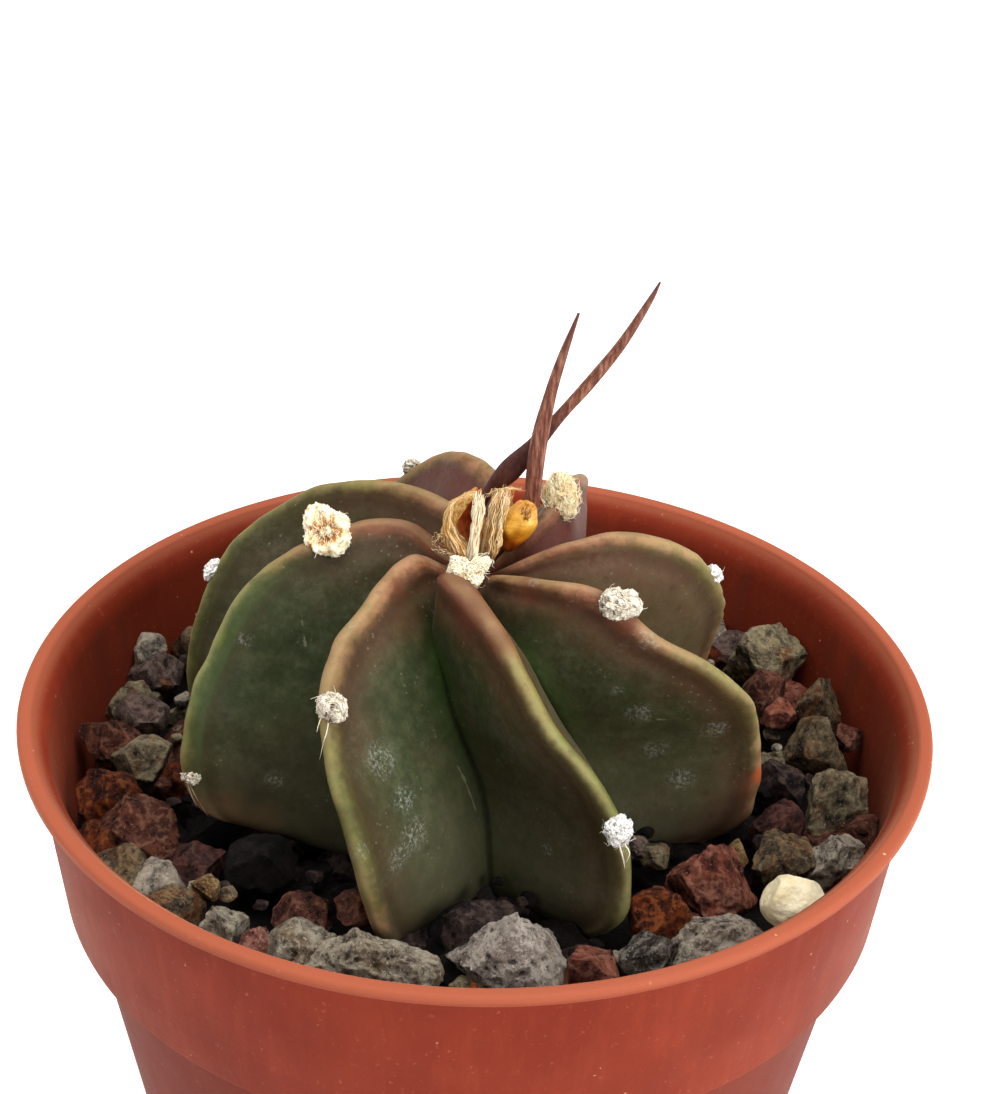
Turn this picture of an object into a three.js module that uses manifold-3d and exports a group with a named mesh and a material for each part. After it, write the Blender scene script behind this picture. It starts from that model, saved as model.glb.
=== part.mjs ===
// A potted goat's horn cactus: a ribbed body with two horn spines, in mineral grit, in a small plastic pot.
// Millimetres, +Z up, origin at the centre of the pot's foot. The side that faces -Y is the front.
import * as THREE from "three";
import { mergeVertices } from "three/addons/utils/BufferGeometryUtils.js";
import Module from "manifold-3d";

const wasm = await Module();
wasm.setup();

// Pot
const RIM_RADIUS = 32.5;
const POT_HEIGHT = 57;
const LIP_WIDTH = 1.15;
const LIP_ABOVE = 0.5;
const LIP_BELOW = 0.35;
const LIP_ROUND = 0.3;
const RIM_Z = POT_HEIGHT - LIP_ABOVE;
const THROAT_DEPTH = 2;
const WALL = 1.1;
const COLLAR_TOP_RADIUS = 31.35;
const COLLAR_FOOT_RADIUS = 30;
const COLLAR_FOOT_Z = RIM_Z - 13.5;
const NECK_RADIUS = 28.5;
const FOOT_RADIUS = 21.2;
const FOOT_HEIGHT = 1.6;
const FOOT_WIDTH = 1.8;
const FLOOR_THICKNESS = 1.3;
const DRAIN_RADIUS = 2.4;
const DRAIN_CIRCLE = 13.5;
const DRAIN_COUNT = 6;
const POT_SIDES = 60;

// Clearance between pieces that touch, and between the plant and its coarser hollow in the grit
const GAP = 0.3;
const HOLLOW_GAP = 0.45;

// Grit
const BED_DEPTH = 8.3;
const BED_TOP = RIM_Z - BED_DEPTH;
const STONE_SINK = 1.6;
// Rings of stones: distance from the pot's axis, how many, and how far their tops are below the rim
const STONE_RINGS = [[27.4, 26, 4.9], [23.6, 20, 5.4], [19.8, 12, 6.4]];
// A stone of a ring is left out where a placed stone's middle is nearer than this
const CROWDED = 3.6;

// Cactus body
const AXIS = new THREE.Vector2(0.3, 1.0);
const CREST_WIDTH = 1.9;
const CREST_DEPTH = 0.95;
const FLANK_STEPS = 2;
const STATION_STEPS = 2;

const MATERIALS = {
  terracotta: new THREE.MeshStandardMaterial({ color: 0xb95836, roughness: 0.45, metalness: 0 }),
  grit: new THREE.MeshStandardMaterial({ color: 0x5a463c, roughness: 0.95, metalness: 0 }),
  pumice: new THREE.MeshStandardMaterial({ color: 0xefe4c0, roughness: 0.95, metalness: 0 }),
  flesh: new THREE.MeshStandardMaterial({ color: 0x4a5138, roughness: 0.5, metalness: 0 }),
  horn: new THREE.MeshStandardMaterial({ color: 0x7d4534, roughness: 0.5, metalness: 0 }),
  husk: new THREE.MeshStandardMaterial({ color: 0xc59a52, roughness: 0.8, metalness: 0 }),
  amber: new THREE.MeshStandardMaterial({ color: 0xc07c1e, roughness: 0.25, metalness: 0 }),
};

// Each rib: its azimuth at the pot, how far it bows aside half-way down, and its crest from the apex to the
// gravel as [distance from the plant's axis, height above the rim].
const RIBS = [
  { name: "left", azimuth: 205, bow: 0, crest: [
    [1.2, 9.6], [3.7, 10.4], [5.9, 12.4], [8.8, 12.9], [11.6, 12.4], [14.5, 11.2],
    [17.2, 9.3], [19.5, 6.3], [21.5, 3.8], [22.4, 0.4], [22.2, -2.8], [20.8, -4.9]] },
  { name: "front left", azimuth: 253, bow: -4.5, crest: [
    [1.1, 9.8], [3.3, 11], [5.5, 12.5], [8.2, 12.5], [11.2, 11.8], [14.6, 10.6],
    [17.3, 8.6], [19.5, 5.5], [21, 2.2], [21.3, -1.5], [21, -4.6], [19.7, -8]] },
  { name: "front", azimuth: 294, bow: 6.5, crest: [
    [1.1, 9.7], [3.1, 11.4], [5.8, 12.8], [8.3, 13.2], [11.2, 12.5], [14.2, 10.8],
    [17.2, 8], [19.3, 5.6], [20.4, 1.7], [21.1, -2], [21.2, -5.2], [19.4, -7.8]] },
  { name: "right", azimuth: 343, bow: 1, crest: [
    [1.3, 10.4], [3.5, 11.7], [6, 12.8], [9.4, 13.6], [11.2, 12.6], [14.5, 10.3],
    [17.6, 8.7], [19.9, 5.8], [20.5, 2.1], [20.7, -1.2], [20.7, -4.2], [19.6, -7.6]] },
  { name: "back right", azimuth: 384, bow: -4, crest: [
    [1.2, 10.5], [3.3, 12.1], [5.9, 13.7], [8.9, 14.4], [12, 13.5], [14.8, 11.7],
    [16.5, 9], [17.6, 6.3], [18.3, 3.3], [18.3, -0.1], [17.5, -4], [16.9, -7.6]] },
  { name: "back", azimuth: 443, bow: -2, crest: [
    [1, 10.8], [3, 12.2], [5.5, 13.2], [8.4, 13.6], [11.3, 12.6], [14.4, 11],
    [17.3, 9.2], [19.5, 6.4], [21, 3], [21.4, -1], [20.9, -4.2], [19.4, -7.6]] },
  { name: "back left", azimuth: 482, bow: 0, crest: [
    [1, 10.6], [3, 12], [5.5, 12.9], [8.5, 13.4], [11.7, 13], [14.7, 11.6],
    [17.4, 9.4], [19.5, 6.4], [21, 3], [21.4, -1], [20.9, -4.2], [19.4, -7.6]] },
  { name: "far left", azimuth: 525, bow: 0, crest: [
    [1.2, 10.8], [3.4, 12.1], [6, 12.5], [9, 12.9], [12.2, 12.6], [15.3, 11.4],
    [17.9, 9.4], [20.3, 7], [21.8, 3.3], [22.6, -0.4], [22.8, -4], [21.6, -7.2]] },
];
// The groove between two ribs, at the same stations and on down to the root's tip
const GROOVE = [
  [0.8, 9.4], [2.4, 9.9], [4.6, 9.9], [6.9, 8.3], [7.8, 6.5], [8.2, 4.7], [8.6, 2.9], [8.9, 0.7], [9.4, -1.8],
  [10.2, -4.4], [11, -6.2], [11.3, -8.6], [10.4, -10.2], [9, -11.3], [7.4, -12.4], [5.8, -14], [4.8, -16],
];
// Below the gravel every rib runs in to the root alike
const UNDERSIDE_IN = [16.5, 12, 8.2, 5.9, 4.8];
const UNDERSIDE_Z = [null, -10.8, -12.2, -14, -16];
const UNDERSIDE_DROP = 2.2;
// Heights above the rim of the apex and of the root's tip
const APEX_Z = 9.6;
const ROOT_TIP_Z = -16.6;
// How far the ribs are wound round the axis at each station, in degrees
const TWIST = [-57, -54, -46, -34, -25, -20, -15, -9, -3, 0, 1, 2, 2, 2, 2, 2, 2];

// Woolly areole tufts: [rib, station along its crest, width, height, thickness]
const TUFTS = [
  ["left", 3.75, 3.1, 3.3, 2.4],
  ["left", 9.5, 1.3, 1.5, 1.1],
  ["front left", 6.1, 2.2, 2.4, 1.9],
  ["front", 1.5, 2.8, 2.6, 2.0],
  ["front", 8, 1.9, 2.2, 1.8],
  ["right", 4.15, 2.2, 3.4, 2.0],
  ["back right", 5.75, 1.3, 2.1, 1.1],
  ["back", 2.6, 2.6, 3.2, 2.7],
  ["back", 7.2, 1.5, 1.7, 1.3],
  ["back left", 6.3, 1.6, 1.7, 1.3],
  ["far left", 7.6, 1.4, 2.1, 1.3],
];

// Horn spines: points on their middle lines, as [x, y, height above the rim], root first, and their widths
const FRONT_SPINE = {
  path: [[3.2, 2.9, 11.9], [3.4, 3.2, 14.2], [3.7, 3.4, 18.8], [4.3, 3.4, 22.6], [5, 3.4, 25.5],
    [6, 3.4, 28.9]],
  widths: [1.0, 1.1, 1.2, 0.88, 0.64, 0.18],
};
const BACK_SPINE = {
  path: [[-0.7, 4, 11.9], [0.3, 4.5, 14.3], [1.8, 4.7, 16.1], [3.5, 4.9, 18.1], [5.2, 5.1, 20.4],
    [7.1, 5.4, 22.8], [9.1, 5.7, 25.6], [10.8, 5.9, 28.7], [11.5, 6, 30.2]],
  widths: [0.9, 0.8, 1.6, 1.15, 0.82, 0.84, 0.72, 0.44, 0.14],
};
const SPINE_SIDES = 8;

// The dried flower: a papery husk open to the front, and the withered strands beside it
const HUSK = {
  x: -1.15, y: 1.5, bottom: 10.9, top: 16.1, radius: 1.7, wall: 0.5,
  openFrom: THREE.MathUtils.degToRad(240), openTo: THREE.MathUtils.degToRad(20),
  swell: [0.5, 0.85, 1, 1, 0.9, 0.62],
};
const STRANDS = [
  { path: [[-0.7, -0.1, 11.2], [-0.6, -0.3, 12.6], [-0.4, -0.2, 14.2], [-0.2, 0.6, 16.5]],
    widths: [0.9, 0.8, 0.8, 0.6] },
  { path: [[0.45, 0.2, 11.2], [0.65, 0, 12.6], [0.95, 0.1, 14.6], [1.5, 0.6, 16.9]],
    widths: [1, 1.2, 1.3, 1] },
];
const FLOWER_BASE = [0, 0.9, 11.4, 3.2, 2.4, 1.6, 0];
const CAPSULE = {
  foot: [2.5, 1.5, 11.3], tip: [2.9, 1.6, 15.5],
  profile: [[0, 0], [0.85, 0.06], [1.35, 0.22], [1.42, 0.44], [1.25, 0.64], [0.6, 0.85], [0, 1]],
};

// Stones that show best: [x, y, height of the top above the rim, length, width, turn]
const TOP_STONES = [
  [-20.0, -16.4, -4.8, 4.6, 3.6, 20], [-16.4, -18.2, -4.9, 3.8, 3.4, 40], [-13.8, -19.8, -5.2, 3.2, 3.0, 0],
  [-11.2, -20.3, -4.6, 5.2, 4.4, 10], [-6.4, -21.4, -3.9, 8.6, 5.2, -8], [-11.4, -16.6, -5.0, 5.0, 4.6, 60],
  [-23.5, -8.4, -3.8, 6.0, 5.4, 30], [-26.0, -4.6, -3.9, 4.8, 4.6, 80], [-24.1, -12.4, -5.0, 4.6, 4.0, 130],
  [-19.4, -10.8, -5.6, 5.0, 4.6, 15], [2.7, -21.0, -1.7, 8.8, 7.0, 0], [8.0, -21.9, -4.3, 4.6, 4.0, 4],
  [11.9, -20.4, -4.3, 4.2, 4.0, 35], [12.6, -16.8, -3.2, 3.6, 4.4, 100], [16.5, -12.9, -2.7, 6.0, 5.0, 140],
  [0.7, -17.2, -4.6, 5.4, 4.2, 20], [16.6, -18.4, -4.4, 7.2, 4.6, 20], [22.0, -9.4, -3.9, 5.6, 4.6, 55],
  [25.4, -9.6, -4.2, 5.4, 3.6, 40], [22.0, -5.4, -4.7, 4.8, 4.0, 90], [22.8, 15.2, -2.4, 7.4, 5.4, -30],
  [22.2, 10.6, -4.0, 4.4, 4.4, 25], [26.2, 9.2, -3.8, 4.6, 4.4, 75], [25.8, 4.0, -3.9, 5.8, 4.8, 110],
  [22.6, 0.2, -5.0, 3.8, 3.6, 30], [26.0, -2.9, -3.6, 6.0, 5.2, 60], [-22.4, 16.2, -5.2, 4.0, 3.6, 15],
  [-25.0, 11.6, -4.8, 5.0, 4.4, 45], [-26.2, 6.8, -4.2, 4.2, 4.0, 120], [-26.2, 1.6, -4.3, 4.8, 4.4, 5],
];
// A cream stone that lies loose on the others: [x, y, height of its middle above the rim, three sizes, turn]
const PUMICE = [21.6, -16.2, -4.7, 4.2, 3.7, 3.5, 25];

// Repeatable random numbers between 0 and 1
function seeded(seed) {
  let state = seed >>> 0;
  return () => {
    state = (state + 0x6d2b79f5) >>> 0;
    let t = state;
    t = Math.imul(t ^ (t >>> 15), t | 1);
    t ^= t + Math.imul(t ^ (t >>> 7), t | 61);
    return ((t ^ (t >>> 14)) >>> 0) / 4294967296;
  };
}

// The surface alone, with the vertices that faces share merged
function bare(geometry) {
  const surface = geometry.clone();
  surface.deleteAttribute("normal");
  surface.deleteAttribute("uv");
  return mergeVertices(surface, 1e-4);
}

function toSolid(geometry) {
  const surface = bare(geometry);
  return new wasm.Manifold(new wasm.Mesh({
    numProp: 3,
    vertProperties: new Float32Array(surface.attributes.position.array),
    triVerts: new Uint32Array(surface.index.array),
  }));
}

function toGeometry(solid) {
  const mesh = solid.getMesh();
  const geometry = new THREE.BufferGeometry();
  geometry.setAttribute("position", new THREE.BufferAttribute(new Float32Array(mesh.vertProperties), 3));
  geometry.setIndex(new THREE.BufferAttribute(new Uint32Array(mesh.triVerts), 1));
  return geometry;
}

// The largest of the bodies that a cut leaves
function largest(solid) {
  return solid.decompose().sort((a, b) => b.volume() - a.volume())[0];
}

function named(name, solid, material) {
  const mesh = new THREE.Mesh(toGeometry(solid), material);
  mesh.name = name;
  return mesh;
}

// A profile of [radius, height] turned round the pot's axis
function turned(profile, sides = POT_SIDES) {
  const points = profile.map(([r, z]) => new THREE.Vector2(r, z));
  return new THREE.LatheGeometry(points, sides).rotateX(Math.PI / 2);
}

// A value on a smooth curve through rows of numbers, at station t
function along(rows, t) {
  const last = rows.length - 1;
  const i = Math.min(Math.floor(t), last - 1);
  const f = t - i;
  const row = (k) => {
    if (k < 0) return rows[0].map((v, j) => 2 * v - rows[1][j]);
    if (k > last) return rows[last].map((v, j) => 2 * v - rows[last - 1][j]);
    return rows[k];
  };
  const [a, b, c, d] = [row(i - 1), row(i), row(i + 1), row(i + 2)];
  return b.map((v, j) => 0.5 * (2 * v + (c[j] - a[j]) * f + (2 * a[j] - 5 * v + 4 * c[j] - d[j]) * f * f
    + (3 * v - a[j] - 3 * c[j] + d[j]) * f * f * f));
}

// The inside of the wall, from below the collar to the throat under the lip
function potInside(gap) {
  return [
    [NECK_RADIUS - WALL - gap, COLLAR_FOOT_Z - 0.4 + gap],
    [COLLAR_FOOT_RADIUS - WALL - gap, COLLAR_FOOT_Z + 0.6 + gap],
    [COLLAR_TOP_RADIUS - WALL - gap, RIM_Z - THROAT_DEPTH],
  ];
}

// Pot: a turned shell with a flat lip, a stepped collar and a foot ring, drilled for drainage
function buildPot() {
  const floorTop = FOOT_HEIGHT + FLOOR_THICKNESS;
  const lipFoot = RIM_Z - LIP_BELOW;
  const profile = [
    [0, FOOT_HEIGHT], [FOOT_RADIUS - FOOT_WIDTH, FOOT_HEIGHT], [FOOT_RADIUS - FOOT_WIDTH, 0],
    [FOOT_RADIUS - 0.4, 0], [FOOT_RADIUS, 0.5],
    [NECK_RADIUS, COLLAR_FOOT_Z - 0.5], [COLLAR_FOOT_RADIUS - 0.3, COLLAR_FOOT_Z],
    [COLLAR_FOOT_RADIUS, COLLAR_FOOT_Z + 0.4], [COLLAR_TOP_RADIUS, lipFoot - LIP_ROUND],
    [RIM_RADIUS - LIP_ROUND, lipFoot], [RIM_RADIUS, lipFoot + LIP_ROUND],
    [RIM_RADIUS, POT_HEIGHT - LIP_ROUND], [RIM_RADIUS - LIP_ROUND, POT_HEIGHT],
    [RIM_RADIUS - LIP_WIDTH + LIP_ROUND, POT_HEIGHT], [RIM_RADIUS - LIP_WIDTH, POT_HEIGHT - LIP_ROUND],
    [COLLAR_TOP_RADIUS - WALL / 2, RIM_Z - LIP_BELOW],
    ...potInside(0).reverse(),
    [FOOT_RADIUS - 0.6, floorTop + 1], [FOOT_RADIUS - 1.6, floorTop], [0, floorTop],
  ];
  let pot = toSolid(turned(profile));
  const drill = new THREE.CylinderGeometry(DRAIN_RADIUS, DRAIN_RADIUS, 10, 20).rotateX(Math.PI / 2);
  pot = pot.subtract(toSolid(drill.clone()));
  for (let i = 0; i < DRAIN_COUNT; i += 1) {
    const angle = (2 * Math.PI * i) / DRAIN_COUNT;
    const hole = drill.clone().translate(DRAIN_CIRCLE * Math.cos(angle), DRAIN_CIRCLE * Math.sin(angle), 0);
    pot = pot.subtract(toSolid(hole));
  }
  return pot;
}

// Cactus body
function crestStations(rib) {
  const lastZ = rib.crest[rib.crest.length - 1][1];
  const under = UNDERSIDE_IN.map((r, i) => [r, i === 0 ? lastZ - UNDERSIDE_DROP : UNDERSIDE_Z[i]]);
  return [...rib.crest, ...under];
}

function wound(azimuth, bow, t) {
  const twist = along(TWIST.map((v) => [v]), t)[0];
  const aside = bow * Math.sin(Math.PI * THREE.MathUtils.clamp((t - 2) / 9, 0, 1));
  return THREE.MathUtils.degToRad(azimuth + twist + aside);
}

function place(radius, angle, height) {
  const [x, y] = [radius * Math.cos(angle), radius * Math.sin(angle)];
  return new THREE.Vector3(AXIS.x + x, AXIS.y + y, RIM_Z + height);
}

function crestPoint(rib, t) {
  const [radius, height] = along(crestStations(rib), t);
  return place(radius, wound(rib.azimuth, rib.bow, t), height);
}

// The groove after a rib lies half-way to the next one
function groovePoint(index, t) {
  const rib = RIBS[index];
  const next = RIBS[(index + 1) % RIBS.length];
  const turn = index + 1 === RIBS.length ? 360 : 0;
  const [radius, height] = along(GROOVE, t);
  return place(radius, wound((rib.azimuth + next.azimuth + turn) / 2, (rib.bow + next.bow) / 2, t), height);
}

// Half the rib's thickness at a depth below its crest: a rounded crest on a flank that widens to the groove
function halfThickness(depth, full, toGroove) {
  const crest = Math.min(CREST_WIDTH / 2, 0.75 * toGroove);
  const round = Math.min(CREST_DEPTH, 0.5 * full);
  if (depth < round) {
    const rise = 1 - depth / round;
    return crest * Math.sqrt(1 - rise * rise);
  }
  return crest + ((toGroove - crest) * (depth - round)) / (full - round);
}

// One ring of points round the body at station t, crest and flanks of each rib in turn
function bodyRing(t) {
  const ring = [];
  for (let i = 0; i < RIBS.length; i += 1) {
    const crest = crestPoint(RIBS[i], t);
    const before = groovePoint((i + RIBS.length - 1) % RIBS.length, t);
    const after = groovePoint(i, t);
    const root = before.clone().add(after).multiplyScalar(0.5);
    const full = crest.distanceTo(root);
    const depths = [0.28, 1].map((share) => share * Math.min(CREST_DEPTH, 0.5 * full));
    for (let step = 1; step <= FLANK_STEPS; step += 1) {
      depths.push(depths[1] + ((full - depths[1]) * step) / FLANK_STEPS);
    }
    const flank = (groove) => depths.map((depth) => {
      const aside = groove.clone().sub(root);
      const reach = aside.length();
      const middle = crest.clone().lerp(root, Math.min(depth / full, 1));
      return middle.addScaledVector(aside.normalize(), halfThickness(depth, full, reach));
    });
    const left = flank(before).reverse();
    ring.push(...left.slice(1), crest, ...flank(after));
  }
  return ring;
}

function buildBody(stationSteps) {
  const stations = GROOVE.length - 1;
  const rings = [];
  for (let i = 0; i <= stations * stationSteps; i += 1) rings.push(bodyRing(i / stationSteps));
  const size = rings[0].length;
  const positions = rings.flat().flatMap((point) => point.toArray());
  const apex = rings.length * size;
  positions.push(...place(0, 0, APEX_Z).toArray(), ...place(0, 0, ROOT_TIP_Z).toArray());
  const index = [];
  for (let k = 0; k < size; k += 1) {
    const next = (k + 1) % size;
    index.push(apex, k, next);
    index.push(apex + 1, (rings.length - 1) * size + next, (rings.length - 1) * size + k);
    for (let j = 0; j < rings.length - 1; j += 1) {
      const [a, b] = [j * size + k, j * size + next];
      const [c, d] = [a + size, b + size];
      index.push(a, c, b, b, c, d);
    }
  }
  const geometry = new THREE.BufferGeometry();
  geometry.setAttribute("position", new THREE.BufferAttribute(new Float32Array(positions), 3));
  geometry.setIndex(index);
  return geometry;
}

// The same surface moved outwards by a distance
function grown(geometry, distance) {
  const wider = bare(geometry);
  wider.computeVertexNormals();
  const { position, normal } = wider.attributes;
  const point = new THREE.Vector3();
  const outward = new THREE.Vector3();
  for (let i = 0; i < position.count; i += 1) {
    point.fromBufferAttribute(position, i).addScaledVector(outward.fromBufferAttribute(normal, i), distance);
    position.setXYZ(i, ...point.toArray());
  }
  return wider;
}

// An angular lump: a ball whose bulges are cut flat by a few random planes
function lump(entry, random, flats, ball = new THREE.IcosahedronGeometry(1, 1)) {
  const [x, y, height, length, width, tall, turn] = entry;
  const planes = [];
  for (let i = 0; i < flats; i += 1) {
    const normal = new THREE.Vector3(random() - 0.5, random() - 0.5, random() - 0.5).normalize();
    planes.push([normal, 0.68 + 0.2 * random()]);
  }
  const { position } = ball.attributes;
  const point = new THREE.Vector3();
  for (let i = 0; i < position.count; i += 1) {
    point.fromBufferAttribute(position, i);
    for (const [normal, reach] of planes) {
      const over = point.dot(normal) - reach;
      if (over > 0) point.addScaledVector(normal, -over);
    }
    position.setXYZ(i, (point.x * length) / 2, (point.y * width) / 2, (point.z * tall) / 2);
  }
  return ball.rotateZ(THREE.MathUtils.degToRad(turn)).translate(x, y, RIM_Z + height);
}

function buildTuft([ribName, station, width, height, thickness], random) {
  const rib = RIBS.find((entry) => entry.name === ribName);
  const seat = crestPoint(rib, station);
  const below = crestPoint(rib, station + 0.3).sub(seat).normalize();
  const index = RIBS.indexOf(rib);
  const root = groovePoint(index, station)
    .lerp(groovePoint((index + RIBS.length - 1) % RIBS.length, station), 0.5);
  const outward = seat.clone().sub(root).normalize();
  const side = below.clone().cross(outward).normalize();
  outward.copy(side).cross(below).normalize();
  const ball = lump([0, 0, -RIM_Z, width, height, thickness, 0], random, 4);
  const frame = new THREE.Matrix4().makeBasis(side, below, outward);
  frame.setPosition(seat.addScaledVector(outward, thickness * 0.12));
  return ball.applyMatrix4(frame);
}

// A round rod along a smooth curve, with its width given at even steps of its length
function taperedRod(path, widths, sides, extra = 0) {
  const curve = new THREE.CatmullRomCurve3(path.map(([x, y, z]) => new THREE.Vector3(x, y, RIM_Z + z)));
  const steps = (path.length - 1) * 2;
  const frames = curve.computeFrenetFrames(steps);
  const rod = new THREE.CylinderGeometry(1, 1, 1, sides, steps);
  const { position } = rod.attributes;
  for (let i = 0; i < position.count; i += 1) {
    const share = THREE.MathUtils.clamp(position.getY(i) + 0.5, 0, 1);
    const step = Math.round(share * steps);
    const radius = along(widths.map((width) => [width]), share * (widths.length - 1))[0] / 2 + extra;
    const point = curve.getPointAt(share);
    point.addScaledVector(frames.binormals[step], radius * position.getX(i));
    point.addScaledVector(frames.normals[step], radius * position.getZ(i));
    position.setXYZ(i, point.x, point.y, point.z);
  }
  return rod;
}

// The dried flower: a curled husk, its strands and the dry base that holds them
function buildFlower() {
  const { x, y, bottom, top, radius, wall, openFrom, openTo } = HUSK;
  const outline = new THREE.Shape();
  outline.absarc(0, 0, radius, openTo, openFrom, false);
  outline.absarc(0, 0, radius - wall, openFrom, openTo, true);
  const upward = { depth: 1, steps: 6, bevelEnabled: false, curveSegments: 7 };
  const husk = new THREE.ExtrudeGeometry(outline, upward);
  const { position } = husk.attributes;
  for (let i = 0; i < position.count; i += 1) {
    const share = position.getZ(i);
    const swell = along(HUSK.swell.map((value) => [value]), share * (HUSK.swell.length - 1))[0];
    position.setXYZ(i, x + swell * position.getX(i), y + swell * position.getY(i),
      RIM_Z + bottom + share * (top - bottom));
  }
  let flower = toSolid(husk);
  for (const strand of STRANDS) {
    flower = flower.add(toSolid(taperedRod(strand.path, strand.widths, 6)));
  }
  return flower.add(toSolid(lump(FLOWER_BASE, seeded(5), 4)));
}

// The seed capsule: a drop with a pointed tip, leaning
function buildCapsule() {
  const { foot, tip, profile } = CAPSULE;
  const points = profile.map(([r, share]) => new THREE.Vector2(r, share));
  const drop = new THREE.LatheGeometry(points, 14).rotateX(Math.PI / 2);
  const { position } = drop.attributes;
  for (let i = 0; i < position.count; i += 1) {
    const share = position.getZ(i);
    position.setXYZ(i, position.getX(i) + foot[0] + share * (tip[0] - foot[0]),
      position.getY(i) + foot[1] + share * (tip[1] - foot[1]), RIM_Z + foot[2] + share * (tip[2] - foot[2]));
  }
  return toSolid(drop);
}

// A stone's middle and height, so that it is sunk into the bed below it
function seated(x, y, top, length, width, turn) {
  const tall = top + BED_DEPTH + STONE_SINK;
  return [x, y, top - tall / 2, length, width, tall, turn];
}

function placedStones() {
  const random = seeded(11);
  const stones = TOP_STONES.map((stone) => (
    { entry: seated(...stone), random: seeded(100 * random()), flats: 7 }));
  for (const [radius, count, depth] of STONE_RINGS) {
    const shift = random();
    for (let i = 0; i < count; i += 1) {
      const angle = (2 * Math.PI * (i + shift + 0.3 * random())) / count;
      const [x, y] = [radius * Math.cos(angle), radius * Math.sin(angle)];
      const top = -depth - 0.9 * random();
      const entry = seated(x, y, top, 4.4 + 1.4 * random(), 3.8 + 1.2 * random(), 180 * random());
      const crowded = TOP_STONES.some(([px, py]) => Math.hypot(px - x, py - y) < CROWDED);
      const ball = new THREE.DodecahedronGeometry(1, 0);
      if (!crowded) stones.push({ entry, random: seeded(100 * random()), flats: 3, ball });
    }
  }
  return stones;
}

// The grit: a bed that fills the pot, with stones on it, hollowed where the plant and the loose stone sit
function buildGrit(bodyRoom, pumiceRoom) {
  const floor = FOOT_HEIGHT + FLOOR_THICKNESS + GAP;
  const inside = potInside(GAP);
  const room = toSolid(turned([
    [0, floor], [FOOT_RADIUS - 1.6 - GAP, floor], [FOOT_RADIUS - 0.6 - GAP, floor + 1], ...inside,
    [0, inside[2][1]],
  ]));
  const level = toSolid(turned([[0, -1], [RIM_RADIUS, -1], [RIM_RADIUS, BED_TOP], [0, BED_TOP]], 16));
  const stones = placedStones().map(
    ({ entry, random, flats, ball }) => toSolid(lump(entry, random, flats, ball)));
  const heap = stones.reduce((sum, stone) => sum.add(stone), level);
  return largest(heap.intersect(room).subtract(bodyRoom).subtract(pumiceRoom));
}

const bodyShape = buildBody(STATION_STEPS);
const bodyRoom = toSolid(grown(buildBody(1), HOLLOW_GAP));
const random = seeded(3);
let body = TUFTS.reduce((sum, tuft) => sum.add(toSolid(buildTuft(tuft, random))), toSolid(bodyShape));
for (const spine of [FRONT_SPINE, BACK_SPINE]) {
  body = body.subtract(toSolid(taperedRod(spine.path, spine.widths, SPINE_SIDES, GAP)));
}
const tuftRoom = toSolid(grown(toGeometry(body), GAP));

let capsule = buildCapsule().subtract(tuftRoom);
for (const rod of [FRONT_SPINE, ...STRANDS]) {
  capsule = capsule.subtract(toSolid(taperedRod(rod.path, rod.widths, SPINE_SIDES, GAP)));
}
const pumiceShape = lump(PUMICE, seeded(21), 6);
const frontSpine = taperedRod(FRONT_SPINE.path, FRONT_SPINE.widths, SPINE_SIDES);
const backSpine = taperedRod(BACK_SPINE.path, BACK_SPINE.widths, SPINE_SIDES);

const group = new THREE.Group();
group.add(
  named("pot", buildPot(), MATERIALS.terracotta),
  named("grit_bed", buildGrit(bodyRoom, toSolid(grown(pumiceShape, GAP))), MATERIALS.grit),
  named("pumice_stone", toSolid(pumiceShape), MATERIALS.pumice),
  named("cactus_body", body, MATERIALS.flesh),
  named("horn_spine_front", toSolid(frontSpine), MATERIALS.horn),
  named("horn_spine_back", toSolid(backSpine), MATERIALS.horn),
  named("dry_flower", largest(buildFlower().subtract(tuftRoom)), MATERIALS.husk),
  named("amber_capsule", largest(capsule), MATERIALS.amber),
);
export default group;
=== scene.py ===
"""A potted goat's horn cactus: its ribbed body, woolly areoles, horn spines, grit and plastic pot."""
import math
import random

import bpy
from mathutils import Matrix, Vector, noise


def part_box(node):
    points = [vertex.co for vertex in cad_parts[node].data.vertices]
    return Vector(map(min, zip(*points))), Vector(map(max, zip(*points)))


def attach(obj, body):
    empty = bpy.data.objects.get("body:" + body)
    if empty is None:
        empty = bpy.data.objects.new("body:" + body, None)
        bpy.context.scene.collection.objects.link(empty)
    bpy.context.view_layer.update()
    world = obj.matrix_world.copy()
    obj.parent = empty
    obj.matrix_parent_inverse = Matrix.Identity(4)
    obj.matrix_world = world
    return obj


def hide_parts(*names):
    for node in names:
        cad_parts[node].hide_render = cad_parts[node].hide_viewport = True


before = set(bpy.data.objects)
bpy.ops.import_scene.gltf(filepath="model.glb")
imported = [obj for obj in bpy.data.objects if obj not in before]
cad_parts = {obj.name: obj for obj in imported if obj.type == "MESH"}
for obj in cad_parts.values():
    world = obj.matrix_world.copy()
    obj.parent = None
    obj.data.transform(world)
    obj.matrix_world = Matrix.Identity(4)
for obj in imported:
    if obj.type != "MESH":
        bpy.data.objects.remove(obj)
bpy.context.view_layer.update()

# Sizes are in millimetres, as in the frame's source, and MM turns them into Blender's metres
MM = 0.001

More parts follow.
